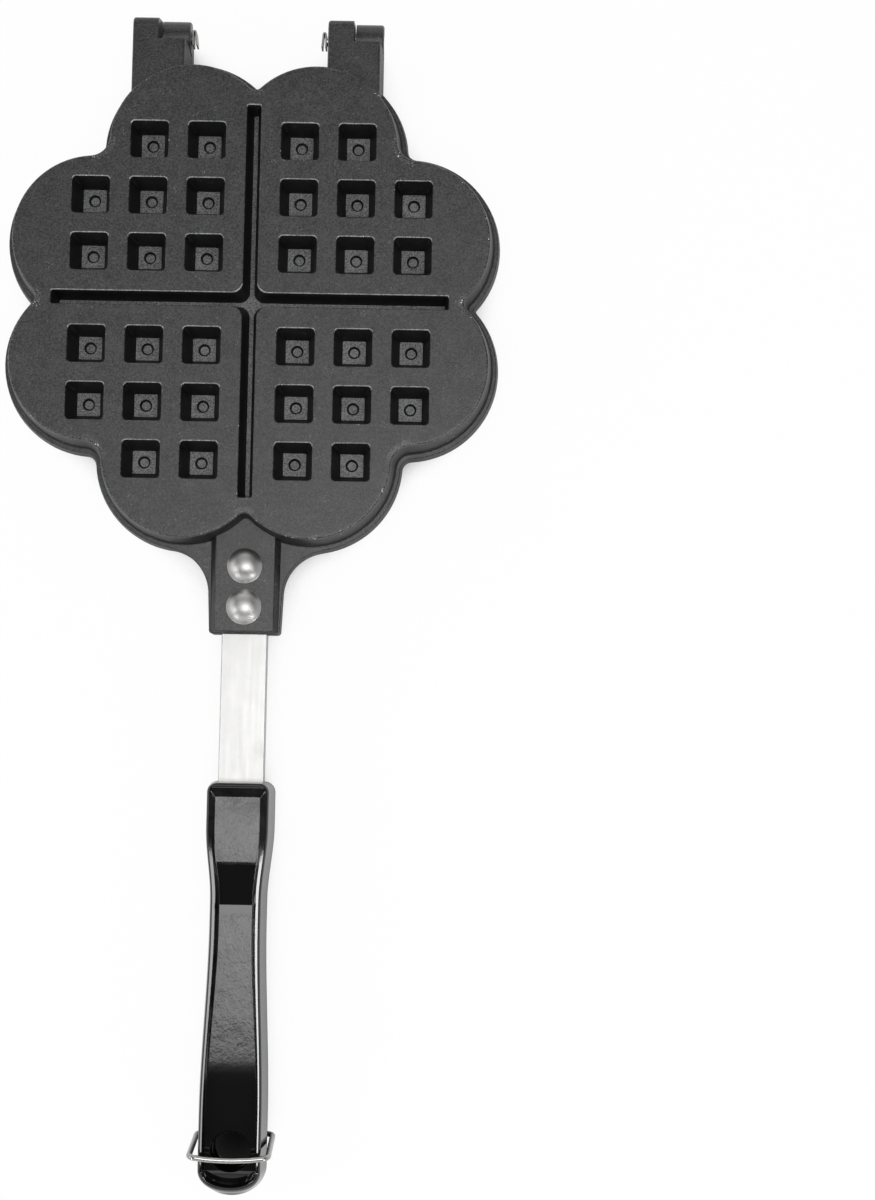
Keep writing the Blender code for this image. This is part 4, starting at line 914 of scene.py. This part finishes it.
CASTING_LOOKS = {
    "face": cast_material("cast_face", 0.0, 0.046, 0.34, specks=0.14, grain=0.6),
    # edge: worn edges with light specks, and partly a painted highlight along the fillets
    "edge": cast_material("cast_edge_wear_and_painted_highlight", 0.004, 0.08, 0.28, specks=1.0, grain=0.4),
    "floor": cast_material("cast_floor", 0.01, 0.21, 0.34, specks=0.2, grain=0.9),
    "inside": cast_material("cast_inside", 0.006, 0.02, 0.38, specks=0.1, grain=0.4),
    # wall: painted shade, darker and less glossy than the face, on the recess walls
    "wall": cast_material("cast_wall_painted_shade", 0.0, 0.012, 0.5, specks=0.1, grain=0.3, specular=0.25),
    # lip: a painted highlight, far lighter than the face, on the mouth fillets that face -Y
    "lip": cast_material("cast_lip_painted_highlight", 0.08, 0.36, 0.24, specks=1.0, grain=0.3),
    # side: painted shade, darker and less glossy than the face, on the outer walls
    "side": cast_material("cast_side_painted_shade", 0.0, 0.03, 0.42, specks=0.3, grain=0.5, specular=0.25),
}
GRIP_LOOKS = {
    "polished": grip_material("grip_polished", 0.07, uneven=0.03, grain=0.05, patch=0.012),
    "grained": grip_material("grip_grained", 0.07, uneven=0.12, grain=0.5, patch=0.07),
}
STRAP_STEEL = steel_material("strap_steel", (0.49, 0.488, 0.482), 0.42, 0.1, (1.0, 0.05, 1.0))
RIVET_STEEL = steel_material("rivet_steel", (0.5, 0.497, 0.49), 0.41, 0.2)
SCREW_STEEL = steel_material("screw_steel", (0.6, 0.592, 0.575), 0.3, 0.1)
PIN_STEEL = steel_material("pin_steel", (0.6, 0.592, 0.575), 0.32, 0.1)
CLIP_STEEL = steel_material("clip_steel", (0.36, 0.357, 0.35), 0.3, 0.08, (1.0, 1.0, 0.2))
WIRE_CHROME = steel_material("wire_chrome", (0.44, 0.435, 0.43), 0.2, 0.03)


# ---------------------------------------------------------------- pieces

def piece(name, mesh, node, body, looks, choose=None, lower=False):
    """A visible piece. looks is one material, or a dictionary of them from which choose names one."""
    mesh = mesh.copy()
    mesh.name = name
    mesh.materials.clear()
    if choose:
        order = list(looks)
        for key in order:
            mesh.materials.append(looks[key])
        for face in mesh.polygons:
            face.material_index = order.index(choose(face.center, face.normal, face.area))
    else:
        mesh.materials.append(looks)
        for face in mesh.polygons:
            face.material_index = 0
    mesh.transform(PLACE @ TURNED if lower else PLACE)
    mesh.shade_smooth()
    mesh.set_sharp_from_angle(angle=SHARP)
    made = bpy.data.objects.new(name, mesh)
    bpy.context.scene.collection.objects.link(made)
    level = made.modifiers.new("weighted normals", "WEIGHTED_NORMAL")
    level.keep_sharp = True
    level.weight = 100
    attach(made, body)
    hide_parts(node)


casting, strap = casting_mesh(), strap_mesh()
for half, body, lower in (("upper", "top", False), ("lower", "base", True)):
    piece(f"{half}_casting", casting, f"{half}_plate", body, CASTING_LOOKS, casting_look, lower)
    piece(f"{half}_handle_strap", strap, f"{half}_strap", body, STRAP_STEEL, lower=lower)
    grip = grip_mesh(f"{half}_form", holds_latch=lower)
    piece(f"{half}_handle_grip", grip, f"{half}_grip", body, GRIP_LOOKS, grip_look, lower)
    for where, distance in RIVETS.items():
        piece(f"{half}_{where}_domed_rivet", rivet_mesh(distance), f"{half}_{where}_rivet", body,
              RIVET_STEEL, lower=lower)
    for where, distance in SCREWS.items():
        piece(f"{half}_{where}_grip_screw", screw_mesh(distance), f"{half}_{where}_screw", body,
              SCREW_STEEL, lower=lower)
for hand, side in (("left", -1), ("right", 1)):
    piece(f"{hand}_pin", pin_mesh(side), f"{hand}_hinge_pin", "base", PIN_STEEL)
    piece(f"{hand}_clip", clip_mesh(side), f"{hand}_pin_clip", "base", CLIP_STEEL)
piece("latch_bail", latch_mesh(), "latch_wire", "latch", WIRE_CHROME)

for helper in list(FORMS.objects):
    bpy.data.objects.remove(helper, do_unlink=True)
bpy.data.collections.remove(FORMS)


# ---------------------------------------------------------------- stage

# The paper: its shade is ambient occlusion, mapped to 0 and 1 from these levels
FLOOR_HALF, FLOOR_Z = 6, -0.0006
PAPER_WHITE, GLOW_SHARE = 0.88, 0.95
SHADE_REACH, MIRRORED_SHADE, SEEN_SHADE = 0.09, (0.3, 0.75), (0.14, 0.45)
# A painted shadow: a disc of the paper under the hanging hole, dark to this level between these radii
PAINTED_SHADOW_RADII, PAINTED_SHADOW_LEVEL = (0.0079, 0.0093), 0.018

# The world: heights of the direction, and the brightness that reflections have at them
SKY_HEIGHTS, SKY_LEVELS = (0.25, 0.6), (0.7, 0.06)

# The camera, fitted to the photograph
LENS, SENSOR = 60, 36
CAMERA_PLACE, CAMERA_TURN = (0.06687, -0.0503, 0.68817), (4.2731, 0.1102, 1.0266)


def paper_material():
    """White paper. The camera sees it white, and dark only where little light gets to it.

    Gloss sees more shade. A disc under the hanging hole has a painted shadow, and from underneath the
    paper is clear, so that the iron shows from below too.
    """
    paper = bpy.data.materials.new("white_paper")
    paper.use_nodes = True
    nodes = Nodes(paper.node_tree)
    nodes.tree.nodes.clear()
    ray = nodes.new("LightPath").outputs
    shaded = nodes.new("AmbientOcclusion", {"Distance": SHADE_REACH})
    shaded.samples = 12
    light = shaded.outputs["AO"]
    here = nodes.new("TexCoord").outputs["Object"]
    from_hole = nodes.new("VectorMath", {0: here, 1: (0, CENTRE_Y - 0.001 * HOLE_Y, 0)})
    from_hole.operation = "DISTANCE"
    # The painted shadow under the hanging hole darkens both the paper's glow and its colour
    away_from_painted_shadow = nodes.ranged(from_hole.outputs["Value"], *PAINTED_SHADOW_RADII, PAINTED_SHADOW_LEVEL)
    mirrored = nodes.times(nodes.ranged(light, *MIRRORED_SHADE), away_from_painted_shadow)
    seen = nodes.times(nodes.ranged(light, *SEEN_SHADE), away_from_painted_shadow)
    level = nodes.new("Mix", {"Factor": ray["Is Camera Ray"], "A": mirrored, "B": seen})
    white = nodes.new("Emission", {"Strength": level.outputs["Result"]})
    matt = nodes.new("BsdfDiffuse", {"Color": nodes.times(away_from_painted_shadow, PAPER_WHITE)})
    direct = nodes.plus(ray["Is Camera Ray"], ray["Is Glossy Ray"])
    direct.node.use_clamp = True
    glow = nodes.times(direct, GLOW_SHARE)
    top = nodes.new("MixShader", {0: glow, 1: matt.outputs[0], 2: white.outputs[0]})
    below = nodes.new("NewGeometry").outputs["Backfacing"]
    clear = nodes.new("BsdfTransparent").outputs[0]
    one_sided = nodes.new("MixShader", {0: below, 1: top.outputs[0], 2: clear})
    nodes.new("OutputMaterial", {"Surface": one_sided.outputs[0]})
    return paper


def make_floor():
    shape = bmesh.new()
    bmesh.ops.create_grid(shape, x_segments=2, y_segments=2, size=FLOOR_HALF)
    mesh = bpy.data.meshes.new("floor")
    shape.to_mesh(mesh)
    shape.free()
    floor = bpy.data.objects.new("floor", mesh)
    floor.location.z = FLOOR_Z
    bpy.context.scene.collection.objects.link(floor)
    mesh.materials.append(paper_material())


def make_world():
    """White behind the object. Its reflections are bright near the horizon and dim above."""
    world = bpy.data.worlds.new("studio")
    bpy.context.scene.world = world
    world.use_nodes = True
    nodes = Nodes(world.node_tree)
    height = nodes.new("SeparateXYZ", {0: nodes.new("TexCoord").outputs["Generated"]}).outputs["Z"]
    reflected = nodes.ranged(height, *SKY_HEIGHTS, *SKY_LEVELS)
    camera = nodes.new("LightPath").outputs["Is Camera Ray"]
    level = nodes.new("Mix", {"Factor": camera, "A": reflected, "B": 1.0})
    nodes.feed(nodes.tree.nodes["Background"], {"Color": level.outputs["Result"]})


def make_camera():
    camera = bpy.data.cameras.new("camera")
    camera.sensor_fit = "VERTICAL"
    camera.sensor_height = SENSOR
    camera.lens = LENS
    camera.clip_start = 0.01
    made = bpy.data.objects.new("camera", camera)
    made.location = CAMERA_PLACE
    made.rotation_euler = [math.radians(angle) for angle in CAMERA_TURN]
    bpy.context.scene.collection.objects.link(made)
    bpy.context.scene.camera = made


def lamp(name, place, aim, size, radiance):
    """A soft rectangular lamp. Its power follows from the radiance of its surface."""
    light = bpy.data.lights.new(name, "AREA")
    light.shape = "RECTANGLE"
    light.size, light.size_y = size
    light.energy = radiance * math.pi * size[0] * size[1]
    made = bpy.data.objects.new(name, light)
    made.location = place
    made.rotation_euler = (Vector(aim) - Vector(place)).to_track_quat("-Z", "Y").to_euler()
    made.visible_camera = False
    bpy.context.scene.collection.objects.link(made)


make_floor()
make_world()
make_camera()
lamp("overhead", (0.0, 0.2387, 1.03), (0.0, 0.2387, 0.0), (1.3, 1.12), 0.7)
lamp("overhead_front", (0.285, -0.0063, 1.025), (0.285, -0.0063, 0.0), (0.83, 0.63), 0.9)
lamp("overhead_middle", (0.1, -0.0713, 1.02), (0.1, -0.0713, 0.0), (0.7, 0.5), 2.0)
lamp("overhead_core", (0.1, -0.2013, 1.015), (0.1, -0.2013, 0.0), (0.6, 0.2), 2.0)
lamp("low_left", (-0.75, -0.9, 0.55), (0.0, 0.0, 0.0), (0.18, 0.18), 17.0)
lamp("low_right", (0.75, -0.9, 0.55), (0.0, 0.0, 0.0), (0.18, 0.18), 20.0)
lamp("front", (0.0, -1.2, 0.75), (0.0, 0.0, 0.0), (1.4, 0.6), 1.0)
lamp("side", (-1.2, 0.0, 0.5), (0.0, 0.0, 0.0), (1.2, 0.35), 1.5)
lamp("strip_left", (-0.95, -0.3, 0.8), (0.0, -0.13, 0.0), (0.3, 0.1), 20.0)
lamp("strip_right", (0.7, -0.28, 0.9), (0.0, -0.13, 0.0), (0.3, 0.1), 10.0)
lamp("rear", (-0.1, 1.5, 0.75), (0.0, 0.1, 0.0), (1.6, 0.8), 0.9)

bpy.context.scene.view_settings.view_transform = "Standard"
